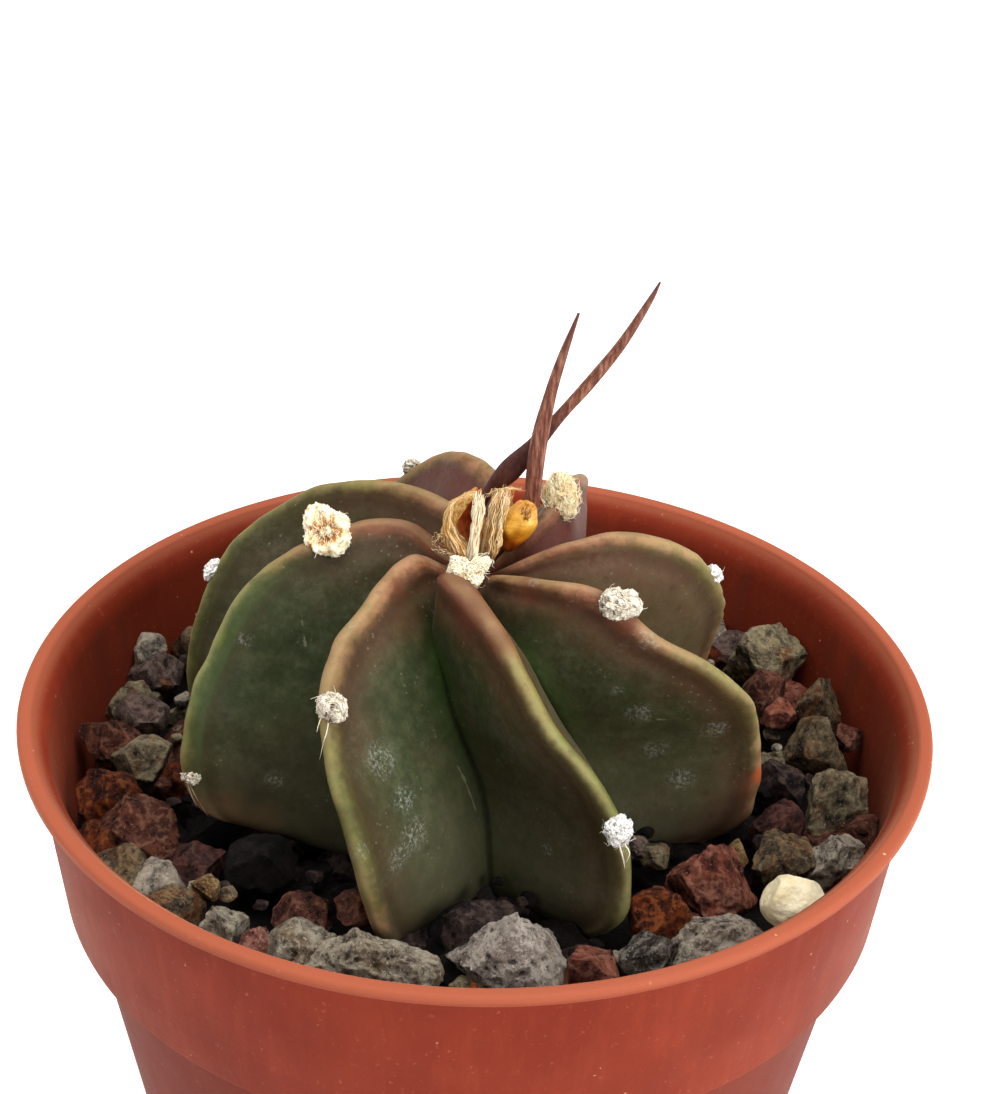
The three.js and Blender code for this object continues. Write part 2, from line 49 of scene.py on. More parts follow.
# Pot
POT_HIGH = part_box("pot")[1] / MM
RIM_RADIUS = POT_HIGH.x
LIP_WIDTH = 1.15
LIP_ABOVE = 0.5
LIP_BELOW = 0.35
RIM_Z = POT_HIGH.z - LIP_ABOVE
WALL = 1.1
COLLAR_TOP_RADIUS = 31.35
COLLAR_FOOT_RADIUS = 30.0
COLLAR_FOOT_Z = RIM_Z - 13.5
NECK_RADIUS = 28.5
FOOT_RADIUS = 21.2
FOOT_HEIGHT = 1.6
FOOT_WIDTH = 1.8
FLOOR_THICKNESS = 1.3
DRAIN_RADIUS = 2.4
DRAIN_CIRCLE = 13.5
DRAIN_COUNT = 6
POT_SIDES = 192

# Grit
BED_DEPTH = 8.3
STONE_SINK = 1.6
BED_GAP = 0.3
LOOSE_BED_DEPTH = 9.6

# Cactus body, whose axis stands a little beside the pot's
AXIS = (0.3, 1.0)
CREST_WIDTH = 1.5
CREST_DEPTH = 0.85
STATION_STEPS = 8
# How much wider than the others a rib's crest is at stations 0 to 5
CREST_SWELL = {"front": (1.2, 2.1, 2.1, 1.6, 1.25, 1.0), "front left": (1.1, 1.25, 1.2, 1.1, 1.0, 1.0),
               "right": (1.1, 1.2, 1.2, 1.1, 1.0, 1.0), "left": (1.1, 1.2, 1.2, 1.1, 1.0, 1.0)}
# How far a crest's colour is drawn to its left side (above 0) or its right side, seen from the pot's wall
CREST_LEANS = {"front": 0.7, "front left": -0.3, "left": -0.5, "far left": -0.35,
               "right": 0.4, "back right": 0.2, "back": 0.2}
# Degrees by which a rib's crest sways aside near its foot, from a station on
FIRST_SWAY = 8
SWAYS = {"front left": (0, -0.6, -1.5, -2.4, -2.6, -1.5, -0.5, 0, 0)}
# A rib's outline: points over its rounded crest, as shares of the crest's depth, and then steps down its
# flank, which are closer by the crest, with one more just above the groove
CREST_SHARES = (0.04, 0.14, 0.3, 0.5, 0.75, 1.0)
FLANK_STEPS = 15
FLANK_SPREAD = 1.15
GROOVE_EDGE = 0.985

# Each rib: its azimuth at the pot, how far it bows aside half-way down, and its crest from the apex to the
# gravel as (distance from the plant's axis, height above the rim)
RIBS = {
    "left": (205, 0, (
        (1.2, 9.6), (3.7, 10.4), (5.9, 12.4), (8.8, 12.9), (11.6, 12.4), (14.5, 11.2),
        (17.2, 9.3), (19.5, 6.3), (21.5, 3.8), (22.4, 0.4), (22.2, -2.8), (20.8, -4.9))),
    "front left": (253, -4.5, (
        (1.1, 9.8), (3.3, 11), (5.5, 12.5), (8.2, 12.5), (11.2, 11.8), (14.6, 10.6),
        (17.3, 8.6), (19.5, 5.5), (21, 2.2), (21.3, -1.5), (21, -4.6), (19.7, -8))),
    "front": (294, 6.5, (
        (1.1, 9.7), (3.1, 11.4), (5.8, 12.8), (8.3, 13.2), (11.2, 12.5), (14.2, 10.8),
        (17.2, 8), (19.3, 5.6), (20.4, 1.7), (21.1, -2), (21.2, -5.2), (19.4, -7.8))),
    "right": (343, 1, (
        (1.3, 10.4), (3.5, 11.7), (6, 12.8), (9.4, 13.6), (11.2, 12.6), (14.5, 10.3),
        (17.6, 8.7), (19.9, 5.8), (20.5, 2.1), (20.7, -1.2), (20.7, -4.2), (19.6, -7.6))),
    "back right": (384, -4, (
        (1.2, 10.5), (3.3, 12.1), (5.9, 13.7), (8.9, 14.4), (12, 13.5), (14.8, 11.7),
        (16.5, 9), (17.6, 6.3), (18.3, 3.3), (18.3, -0.1), (17.5, -4), (16.9, -7.6))),
    "back": (443, -2, (
        (1, 10.8), (3, 12.2), (5.5, 13.2), (8.4, 13.6), (11.3, 12.6), (14.4, 11),
        (17.3, 9.2), (19.5, 6.4), (21, 3), (21.4, -1), (20.9, -4.2), (19.4, -7.6))),
    "back left": (482, 0, (
        (1, 10.6), (3, 12), (5.5, 12.9), (8.5, 13.4), (11.7, 13), (14.7, 11.6),
        (17.4, 9.4), (19.5, 6.4), (21, 3), (21.4, -1), (20.9, -4.2), (19.4, -7.6))),
    "far left": (525, 0, (
        (1.2, 10.8), (3.4, 12.1), (6, 12.5), (9, 12.9), (12.2, 12.6), (15.3, 11.4),
        (17.9, 9.4), (20.3, 7), (21.8, 3.3), (22.6, -0.4), (22.8, -4), (21.6, -7.2))),
}
RIB_NAMES = list(RIBS)
# The groove between two ribs, at the same stations and on down to the root's tip
GROOVE = (
    (0.8, 9.4), (2.4, 9.9), (4.6, 9.9), (6.9, 8.3), (7.8, 6.5), (8.2, 4.7), (8.6, 2.9), (8.9, 0.7),
    (9.4, -1.8), (10.2, -4.4), (11, -6.2), (11.3, -8.6), (10.4, -10.2), (9, -11.3), (7.4, -12.4),
    (5.8, -14), (4.8, -16),
)
# Below the gravel every rib drops a little and then runs in to the root alike
UNDERSIDE_IN = (16.5, 12, 8.2, 5.9, 4.8)
UNDERSIDE_Z = (-10.8, -12.2, -14, -16)
UNDERSIDE_DROP = 2.2
APEX_Z = 9.6
ROOT_TIP_Z = -16.6
# How far the ribs are wound round the axis at each station, in degrees
TWIST = (-57, -54, -46, -34, -25, -20, -15, -9, -3, 0, 1, 2, 2, 2, 2, 2, 2)

# Woolly areole tufts: rib, station along its crest, width, height, thickness, wool, shape, fibres, and for
# some the way they face, as its heading and rise in degrees, and how far aside and down they sit
TUFTS = (
    ("left", 3.75, 3.3, 3.4, 2.4, "cream", "cup", 420, (258, 26, 0, 0)),
    ("left", 9.5, 1.5, 1.2, 0.9, "grey", "cap", 90, (265, 8, -0.5, 0)),
    ("front left", 6.1, 2.3, 2.5, 1.9, "grey", "drop", 150, (254, 16, -0.7, 0.1)),
    ("front", 1.6, 2.9, 2.4, 1.6, "cream", "fan", 440, (268, 40, -0.95, -0.25)),
    ("front", 8, 1.9, 2.2, 1.8, "white", "ball", 260, (285, 10, 0, 0)),
    ("right", 4.15, 3.2, 2.4, 2.1, "grey", "lump", 260, (275, 34, 0, 0)),
    ("back right", 5.75, 1.1, 1.9, 1.0, "white", "cap", 80, None),
    ("back", 2.6, 2.3, 3.3, 2.0, "yellow", "fleece", 700, (275, 30, 0, 0.25)),
    ("back", 7.2, 1.5, 1.7, 1.3, "grey", "cap", 110, None),
    ("back left", 6.3, 1.6, 1.7, 1.3, "grey", "cap", 110, None),
    ("far left", 7.6, 1.3, 1.9, 1.2, "white", "cap", 100, None),
)
# Loose fibres that hang from a tuft: points as (x, y, height above the rim), a width and a tint
LOOSE_FIBRES = (
    (((-9.6, -13.9, 7.9), (-9.6, -14.6, 7.2), (-9.9, -15.0, 6.0), (-10.1, -15.1, 5.0)), 0.1, 0.8),
    (((-9.9, -13.9, 8.0), (-10.2, -14.4, 7.3), (-10.3, -14.6, 6.8)), 0.08, 0.7),
    (((9.4, -18.2, 1.6), (9.8, -18.5, 0.4), (10.0, -18.4, -0.6)), 0.16, 0.9),
    (((9.7, -18.2, 1.5), (10.2, -18.6, 0.9), (10.0, -18.7, 0.1)), 0.12, 0.9),
    (((-19.6, -9.2, -1.6), (-19.0, -9.9, -2.4), (-18.2, -10.3, -3.6)), 0.07, 0.15),
    (((-19.8, -9.0, -1.5), (-19.4, -9.7, -2.2), (-19.0, -10.0, -3.1)), 0.05, 0.3),
)

# How brown the crest is at its stations 0, 2, 4, 6, 8, 10 and 12: 0 is yellow-green, 0.5 tan, 1 red-brown
CREST_TINTS = {
    "left": (0.9, 0.9, 0.66, 0.18, 0.08, 0.5, 0.75), "front left": (0.95, 0.74, 0.54, 0.44, 0.08, 0.42, 0.55),
    "front": (1.05, 0.92, 0.52, 0.2, 0.05, 0.1, 0.2), "right": (0.85, 0.5, 0.8, 0.3, 0.14, 0.5, 0.8),
    "back right": (0.9, 0.78, 0.46, 0.28, 0.48, 0.7, 0.85), "back": (0.9, 0.9, 0.8, 0.6, 0.4, 0.4, 0.6),
    "back left": (0.9, 0.8, 0.6, 0.5, 0.3, 0.4, 0.6), "far left": (0.9, 0.6, 0.36, 0.26, 0.25, 0.3, 0.5),
}
# How strongly the flank is browned beside the crest, and how pale the crest is, partly its own pink-tan and
# partly painted highlight, at the same stations
VERGES = {
    "left": (0.9, 0.7, 0.35, 0.0, 0.0, 0.3, 0.7), "front left": (0.9, 0.8, 0.7, 0.5, 0.4, 0.4, 0.5),
    "front": (1.0, 1.0, 0.85, 0.6, 0.5, 0.45, 0.4), "right": (0.8, 0.9, 1.0, 0.8, 0.5, 0.7, 0.9),
    "back right": (0.8, 0.6, 0.3, 0.3, 0.5, 0.7, 0.7), "back": (0.9, 0.9, 0.8, 0.6, 0.4, 0.4, 0.4),
    "back left": (0.9, 0.8, 0.7, 0.5, 0.3, 0.3, 0.3), "far left": (0.9, 0.8, 0.6, 0.3, 0.2, 0.2, 0.3),
}
PALE_CRESTS = {
    "left": (0.1, 0.15, 0.1, 0.0, 0.1, 0.0, 0.2), "front left": (0.3, 0.55, 0.5, 0.2, 0.0, 0.6, 0.9),
    "front": (0.0, 0.0, 0.1, 0.0, 0.0, 0.0, 0.0), "right": (0.3, 0.45, 0.5, 0.2, 0.8, 0.8, 0.3),
    "back right": (0.3, 0.6, 0.6, 0.3, 0.2, 0.2, 0.2), "back": (0.3, 0.3, 0.5, 0.3, 0.2, 0.0, 0.0),
    "back left": (0.3, 0.5, 0.6, 0.3, 0.1, 0.0, 0.0), "far left": (0.2, 0.5, 0.2, 0.0, 0.0, 0.1, 0.3),
}
# Marks on the skin: chalky patches, red-brown flushes, purple by the apex, tan folds and one orange-red spot,
# each with its place, as (x, y, height above the rim), and how far it spreads
CHALK = (
    (11.2, -6.9, 3.9, 1.5), (12.5, -5.8, 0.1, 1.3), (16.6, -6.7, 2.4, 1.5), (14.6, -5.5, -2.6, 1.5),
    (9.5, -7.1, 5.8, 0.7), (11.4, -7.8, 10.3, 1.2), (-7.5, -18.8, 0.2, 1.3), (-8.5, -8.5, 11.2, 0.7),
    (-4.6, -14.2, 1.3, 1.5), (-3.9, -15.0, -1.0, 1.9), (-4.7, -16.8, -1.7, 1.4), (-6.2, -13.5, 4.0, 1.9),
    (5.1, -13.3, -3.2, 0.8), (-16.1, -4.0, 6.9, 0.8), (-13.9, -8.0, -2.0, 1.0), (3.6, -5.2, 13.0, 0.7),
)
FLUSH = (
    (19.9, -5.1, -3.3, 2.6), (20.3, -4.6, -0.6, 1.6), (-0.6, -8.6, 12.8, 3.4), (-0.8, -4.6, 12.4, 2.6),
    (1.4, -11.0, 12.1, 2.4), (9.6, -7.2, 11.9, 2.6), (15.4, -3.0, -7.4, 4.0), (-5.0, -5.0, 12.4, 2.2),
    (3.3, -4.6, 12.2, 2.4), (-9.2, -15.6, 3.6, 1.2),
)
PURPLE = ((5.5, 2.7, 11.7, 3.6), (3.2, 6.0, 12.0, 3.4), (1.0, 9.0, 12.5, 3.2))
TANNED = ((-16.9, -9.4, -4.0, 2.6), (-14.6, -9.0, -4.9, 2.4), (-19.6, -8.6, -3.4, 1.8))
EMBER = ((20.9, -4.9, -2.6, 1.7),)
# How purple the upper flanks and how tan all the flanks of a rib are
RIB_PURPLE = {"back": 0.85, "back left": 0.85, "far left": 0.15, "back right": 0.4}
RIB_TAN = {"back right": 0.55, "right": 0.1}
# Fine pale scratches, from one end to the other
SCRATCHES = (
    ((-2.2, -9.0, 3.6), (0.9, -9.8, -4.6)), ((-12.4, -2.0, 9.2), (-11.9, -3.6, 5.0)),
    ((12.3, -7.0, 3.3), (13.9, -6.9, 3.4)), ((16.2, -6.9, 3.1), (17.6, -6.8, 2.2)),
    ((8.7, -9.4, -0.4), (8.9, -8.8, -4.4)),
)

# Horn spines: points on their middle lines, as (x, y, height above the rim), root first, and their widths
FRONT_SPINE = (
    ((3.2, 2.9, 11.9), (3.4, 3.2, 14.2), (3.7, 3.4, 18.8), (4.3, 3.4, 22.6), (5, 3.4, 25.5), (6, 3.4, 28.9)),
    (1.0, 1.1, 1.2, 0.88, 0.64, 0.18),
)
BACK_SPINE = (
    ((-0.7, 4, 11.9), (0.3, 4.5, 14.3), (1.8, 4.7, 16.1), (3.5, 4.9, 18.1), (5.2, 5.1, 20.4),
     (7.1, 5.4, 22.8), (9.1, 5.7, 25.6), (10.8, 5.9, 28.7), (11.5, 6, 30.2)),
    (0.9, 0.8, 1.6, 1.15, 0.82, 0.84, 0.72, 0.44, 0.14),
)
SPINE_SIDES = 20

# Stones that show best: x, y, height of the top above the rim, length, width, turn, finish, fineness, and for
# some their own facets, each as its heading, its rise in degrees and its distance from the middle
TOP_STONES = (
    (-20.0, -16.4, -4.8, 4.6, 3.6, 20, "umber", 5), (-16.4, -18.2, -4.9, 3.8, 3.4, 40, "grey", 5),
    (-13.8, -19.8, -5.2, 3.2, 3.0, 0, "pink", 5), (-11.2, -20.3, -4.6, 5.2, 4.4, 10, "grey", 5),
    (-6.4, -21.4, -3.9, 8.6, 5.2, -8, "grey", 6,
     (260, 30, 0.6), (200, 50, 0.66), (30, 62, 0.62), (80, 40, 0.6)),
    (-11.4, -16.6, -5.0, 5.0, 4.6, 60, "brown", 5), (-23.5, -8.4, -3.8, 6.0, 5.4, 30, "brown", 6),
    (-26.0, -4.6, -3.9, 4.8, 4.6, 80, "rust", 5), (-24.1, -12.4, -5.0, 4.6, 4.0, 130, "umber", 5),
    (-19.4, -10.8, -5.6, 5.0, 4.6, 15, "maroon", 5),
    (2.7, -21.0, -1.7, 8.8, 7.0, 0, "pale", 6,
     (268, 24, 0.5), (322, 30, 0.5), (8, 40, 0.46), (190, 38, 0.4), (228, 18, 0.56), (95, 40, 0.46),
     (140, 36, 0.52), (60, 84, 0.86), (215, -30, 0.6)),
    (8.0, -21.9, -4.3, 4.6, 4.0, 4, "red", 5,
     (270, 12, 0.5), (75, 74, 0.62), (0, 10, 0.7), (180, 12, 0.7)),
    (11.9, -20.4, -4.3, 4.2, 4.0, 35, "coal", 5), (12.6, -16.8, -3.2, 3.6, 4.4, 100, "rust", 5),
    (16.5, -12.9, -2.3, 6.2, 5.2, 140, "red", 6, (205, 36, 0.62), (338, 40, 0.5), (268, 8, 0.66)),
    (0.7, -17.2, -4.6, 5.4, 4.2, 20, "dark", 5),
    (16.6, -18.4, -4.4, 7.2, 4.6, 20, "slate", 6,
     (250, 36, 0.6), (80, 66, 0.66), (180, 44, 0.7), (0, 40, 0.7)),
    (22.0, -9.4, -3.9, 5.6, 4.6, 55, "umber", 5), (25.4, -9.6, -4.2, 5.4, 3.6, 40, "slate", 5),
    (22.0, -5.4, -4.7, 4.8, 4.0, 90, "maroon", 5), (22.8, 15.2, -2.4, 7.4, 5.4, -30, "olive", 5),
    (22.2, 10.6, -4.0, 4.4, 4.4, 25, "brown", 5), (26.2, 9.2, -3.8, 4.6, 4.4, 75, "umber", 5),
    (25.8, 4.0, -3.9, 5.8, 4.8, 110, "umber", 5), (22.6, 0.2, -5.0, 3.8, 3.6, 30, "dark", 5),
    (26.0, -2.9, -3.6, 6.0, 5.2, 60, "olive", 5), (-22.4, 16.2, -5.2, 4.0, 3.6, 15, "umber", 4),
    (-25.0, 11.6, -4.8, 5.0, 4.4, 45, "mauve", 4), (-26.2, 6.8, -4.2, 4.2, 4.0, 120, "olive", 5),
    (-26.2, 1.6, -4.3, 4.8, 4.4, 5, "brown", 5),
)
# Smaller stones between them: x, y, height of the middle above the rim, size, finish
SMALL_STONES = (
    (-17.8, -14.9, -6.0, 2.0, "ochre"), (-7.6, -16.6, -6.0, 2.8, "brown"), (-14.5, -11.8, -6.6, 4.8, "deep"),
    (18.3, -9.8, -6.0, 2.2, "ochre"), (12.6, -10.2, -6.0, 2.4, "olive"), (11.5, -9.5, -6.0, 2.4, "mauve"),
    (23.1, 7.5, -6.0, 2.8, "red"), (28.0, 4.6, -6.0, 2.6, "brown"), (-24.9, 4.8, -6.0, 3.8, "mauve"),
    (-27.4, 1.9, -6.0, 3.6, "brown"), (-24.2, -0.8, -6.0, 4.0, "olive"), (-26.0, 13.6, -6.0, 3.4, "slate"),
)
# Finishes of the loose filling in the light and in the plant's shade, where a name given twice comes up more
OPEN = ("dark", "brown", "brown", "slate", "slate", "olive", "olive", "maroon", "mauve", "rust", "red")
SHADED = ("deep", "deep", "dark", "deep")
# Rings of loose filling: distance from the pot's axis, how far the tops are below the rim, and finishes
FILL_RINGS = ((27.8, 5.2, OPEN), (25.2, 5.7, OPEN), (22.4, 6.2, OPEN), (19.6, 6.9, SHADED),
              (16.8, 7.3, SHADED), (14.0, 7.6, SHADED), (11.4, 7.8, SHADED))
FILL_SPACING = 3.6
CROWDED = 2.7
CHIPS = 240
CHIP_REACH = 28.6
CHIP_FINISHES = ("dark", "slate", "olive", "brown", "maroon")
# Nearer to the pot's axis than this, the chips lie in the plant's shade
SHADE_RADIUS = 22
# Loose stones keep this far from the ribs, which meet the gravel at station 10
RIB_CLEARANCE = 2.6
GRAVEL_STATION = 10
# The cream pumice stone: x, y, height of the middle above the rim, its three sizes and its turn. It is built
# as this share of them, so that its bulges stay within them
PUMICE = (21.6, -16.2, -4.7, 4.2, 3.7, 3.5, 25)
PUMICE_FACETS = ((300, -20, 0.84), (150, 30, 0.84), (40, 50, 0.86), (240, 50, 0.92), (330, 40, 0.92))
PUMICE_SHARE = 0.98
# Crumbs on the lip: heading in degrees, distance from the outer edge, length
LIP_CRUMBS = ((-55.6, 0.35, 0.5), (-50.8, 0.5, 0.75), (-46.3, 0.3, 0.8), (-40.2, 0.7, 0.4),
              (-49.0, 0.8, 0.35))
# The turn, in degrees, that spreads directions evenly over a ball
GOLDEN_ANGLE = 137.5
# Where each kind's random draws start
STONE_SEED = 40
SMALL_STONE_SEED = 90
CHIP_SEED = 900
GRIT_SEED = 17
CRUMB_SEED = 61
WOOL_SEED = 500
STRAND_SEED = 23

# Lava finishes: light, middle and dark tones, specks, which also serve as the painted highlight on raised
# crags, a tinge, and how rare the specks are
LAVA = {
    "grey": ((164, 152, 132), (126, 114, 99), (68, 60, 52), (200, 188, 164), (120, 98, 74), 0.6),
    "pale": ((200, 186, 171), (166, 152, 139), (96, 86, 79), (224, 214, 200), (142, 122, 108), 0.6),
    "slate": ((184, 168, 148), (142, 130, 116), (64, 57, 52), (212, 200, 178), (102, 80, 64), 0.62),
    "coal": ((100, 92, 84), (64, 58, 54), (24, 22, 22), (176, 166, 150), (54, 44, 40), 0.6),
    "olive": ((150, 136, 106), (104, 92, 73), (44, 40, 33), (184, 168, 130), (126, 80, 48), 0.62),
    "umber": ((122, 106, 82), (78, 66, 52), (31, 27, 25), (166, 134, 92), (116, 66, 36), 0.62),
    "brown": ((112, 63, 46), (78, 43, 33), (38, 22, 19), (156, 108, 84), (72, 48, 42), 0.63),
    "red": ((148, 84, 64), (118, 62, 49), (60, 32, 27), (182, 126, 102), (100, 62, 52), 0.63),
    "pink": ((172, 112, 96), (142, 88, 76), (84, 50, 44), (200, 154, 134), (136, 102, 86), 0.6),
    "rust": ((124, 56, 25), (67, 30, 18), (30, 16, 13), (170, 94, 44), (62, 36, 30), 0.62),
    "dark": ((76, 60, 55), (50, 39, 37), (20, 17, 17), (112, 92, 82), (58, 34, 30), 0.64),
    "maroon": ((92, 54, 47), (62, 36, 33), (24, 15, 15), (122, 80, 68), (52, 42, 40), 0.64),
    "mauve": ((118, 97, 88), (84, 67, 61), (38, 31, 30), (152, 130, 116), (80, 54, 46), 0.62),
    "ochre": ((158, 130, 82), (118, 94, 58), (58, 45, 28), (188, 162, 110), (106, 68, 42), 0.6),
    # The deep finish is near black, as painted shade for the bed and for the stones in the plant's shadow.
    "deep": ((30, 23, 21), (17, 14, 13), (7, 6, 6), (42, 33, 29), (27, 19, 17), 0.66),
}
# Wool finishes: pale, middle and deep tones
WOOL = {
    "cream": ((255, 247, 222), (248, 224, 174), (182, 122, 62)),
    "white": ((250, 248, 244), (232, 226, 218), (150, 138, 126)),
    "grey": ((228, 219, 202), (192, 178, 156), (92, 74, 60)),
    "yellow": ((255, 244, 208), (255, 220, 150), (208, 140, 64)),
}
# How coarse a tuft's surface is, how long its fibres are, and what share of them stands out, by shape
WOOL_GRAIN = {"fleece": 0.3, "fan": 0.2, "cap": 0.12, "ball": 0.2, "cup": 0.2, "lump": 0.16, "drop": 0.1}
FIBRE_LENGTHS = {"fleece": (1.2, 2.6), "fan": (0.7, 1.5), "ball": (0.8, 1.6), "cap": (0.3, 0.8)}
SHORT_FIBRES = (0.4, 1.0)
STRAY_SHARES = {"fleece": 0.25, "fan": 0.1, "ball": 0.04}
FEW_STRAYS = 0.015
FIBRE_STEPS = 7


def srgb(red, green, blue):
    """A linear colour from the everyday 0 to 255 values."""
    def linear(value):
        share = value / 255
        return share / 12.92 if share <= 0.04045 else ((share + 0.055) / 1.055) ** 2.4
    return (linear(red), linear(green), linear(blue), 1.0)


def smooth(low, high, value):
    share = min(max((value - low) / (high - low), 0.0), 1.0)
    return share * share * (3 - 2 * share)


def along(rows, t):
    """A value on a smooth curve through rows of numbers, at station t."""
    last = len(rows) - 1
    i = min(int(math.floor(t)), last - 1)
    f = t - i

    def row(k):
        if k < 0:
            return [2 * v - w for v, w in zip(rows[0], rows[1])]
        if k > last:
            return [2 * v - w for v, w in zip(rows[last], rows[last - 1])]
        return rows[k]

    return [0.5 * (2 * b + (c - a) * f + (2 * a - 5 * b + 4 * c - d) * f * f
                   + (3 * b - a - 3 * c + d) * f ** 3)
            for a, b, c, d in zip(row(i - 1), row(i), row(i + 1), row(i + 2))]


def value_at(row, t):
    """A value on a smooth curve through plain numbers, at station t or at the last one."""
    return along([(value,) for value in row], min(t, len(row) - 1.0))[0]


def in_frame(points):
    """Places given with their heights above the rim, as the frame has them."""
    return [Vector((x, y, RIM_Z + z)) for x, y, z in points]


def arc(x, z, radius, start, end, steps):
    """Points on part of a circle, by its angles in degrees."""
    angles = [math.radians(start + (end - start) * i / steps) for i in range(steps + 1)]
    return [(x + radius * math.cos(a), z + radius * math.sin(a)) for a in angles]


# Modelling

def added(primitive, **measures):
    """A new piece from one of the primitives, with nothing else selected."""
    bpy.ops.object.select_all(action="DESELECT")
    primitive(**measures)
    return bpy.context.object


def choose(*pieces):
    """Selects these pieces alone, with the first as the active one."""
    bpy.ops.object.select_all(action="DESELECT")
    for piece in pieces:
        piece.select_set(True)
    bpy.context.view_layer.objects.active = pieces[0]


def in_edit_mode(piece, work):
    """Works on the whole of a piece's mesh and turns its faces outward."""
    choose(piece)
    bpy.ops.object.mode_set(mode="EDIT")
    bpy.ops.mesh.select_all(action="SELECT")
    work()
    bpy.ops.mesh.select_all(action="SELECT")
    bpy.ops.mesh.normals_make_consistent(inside=False)
    bpy.ops.object.mode_set(mode="OBJECT")
    return piece


def joined(name, pieces):
    """One piece of several."""
    choose(*pieces)
    if len(pieces) > 1:
        bpy.ops.object.join()
    pieces[0].name = name
    pieces[0].data.name = name
    return pieces[0]


def welded(piece, distance=0.001):
    return in_edit_mode(piece, lambda: bpy.ops.mesh.remove_doubles(threshold=distance * MM))


def rounded(piece, angle=40):
    choose(piece)
    bpy.ops.object.shade_smooth_by_angle(angle=math.radians(angle))
    return piece


def keep_layer(piece, name, values):
    """Stores a value for each point, which a finish reads by this name."""
    piece.data.attributes.new(name, "FLOAT", "POINT").data.foreach_set("value", values)


def shaped_grid(name, across, lengthwise, form, layers=()):
    """A grid whose points are moved by form(u, v), which gives a place and then a value for each layer."""
    piece = added(bpy.ops.mesh.primitive_grid_add, x_subdivisions=across, y_subdivisions=lengthwise, size=1)
    piece.name = name
    columns = [[] for _ in layers]
    for vertex in piece.data.vertices:
        place, *values = form(round((vertex.co.x + 0.5) * across), round((vertex.co.y + 0.5) * lengthwise))
        vertex.co = Vector(place) * MM
        for column, value in zip(columns, values):
            column.append(value)
    for layer, column in zip(layers, columns):
        keep_layer(piece, layer, column)
    return piece


def turned_shell(name, profile, sides):
    """A disc extruded and resized through a profile of (radius, height), which closes it at both ends."""
    radius, height = profile[0]
    piece = added(bpy.ops.mesh.primitive_circle_add, vertices=sides, radius=radius * MM, fill_type="NGON",
                  location=(0, 0, height * MM))
    piece.name = name
    bpy.ops.object.transform_apply(location=True)

    def work():
        for (r, z), (next_r, next_z) in zip(profile, profile[1:]):
            bpy.ops.mesh.extrude_region_move(TRANSFORM_OT_translate={"value": (0, 0, (next_z - z) * MM)})
            if next_r != r:
                bpy.ops.transform.resize(value=(next_r / r, next_r / r, 1), center_override=(0, 0, 0))
    return in_edit_mode(piece, work)


# Finishes

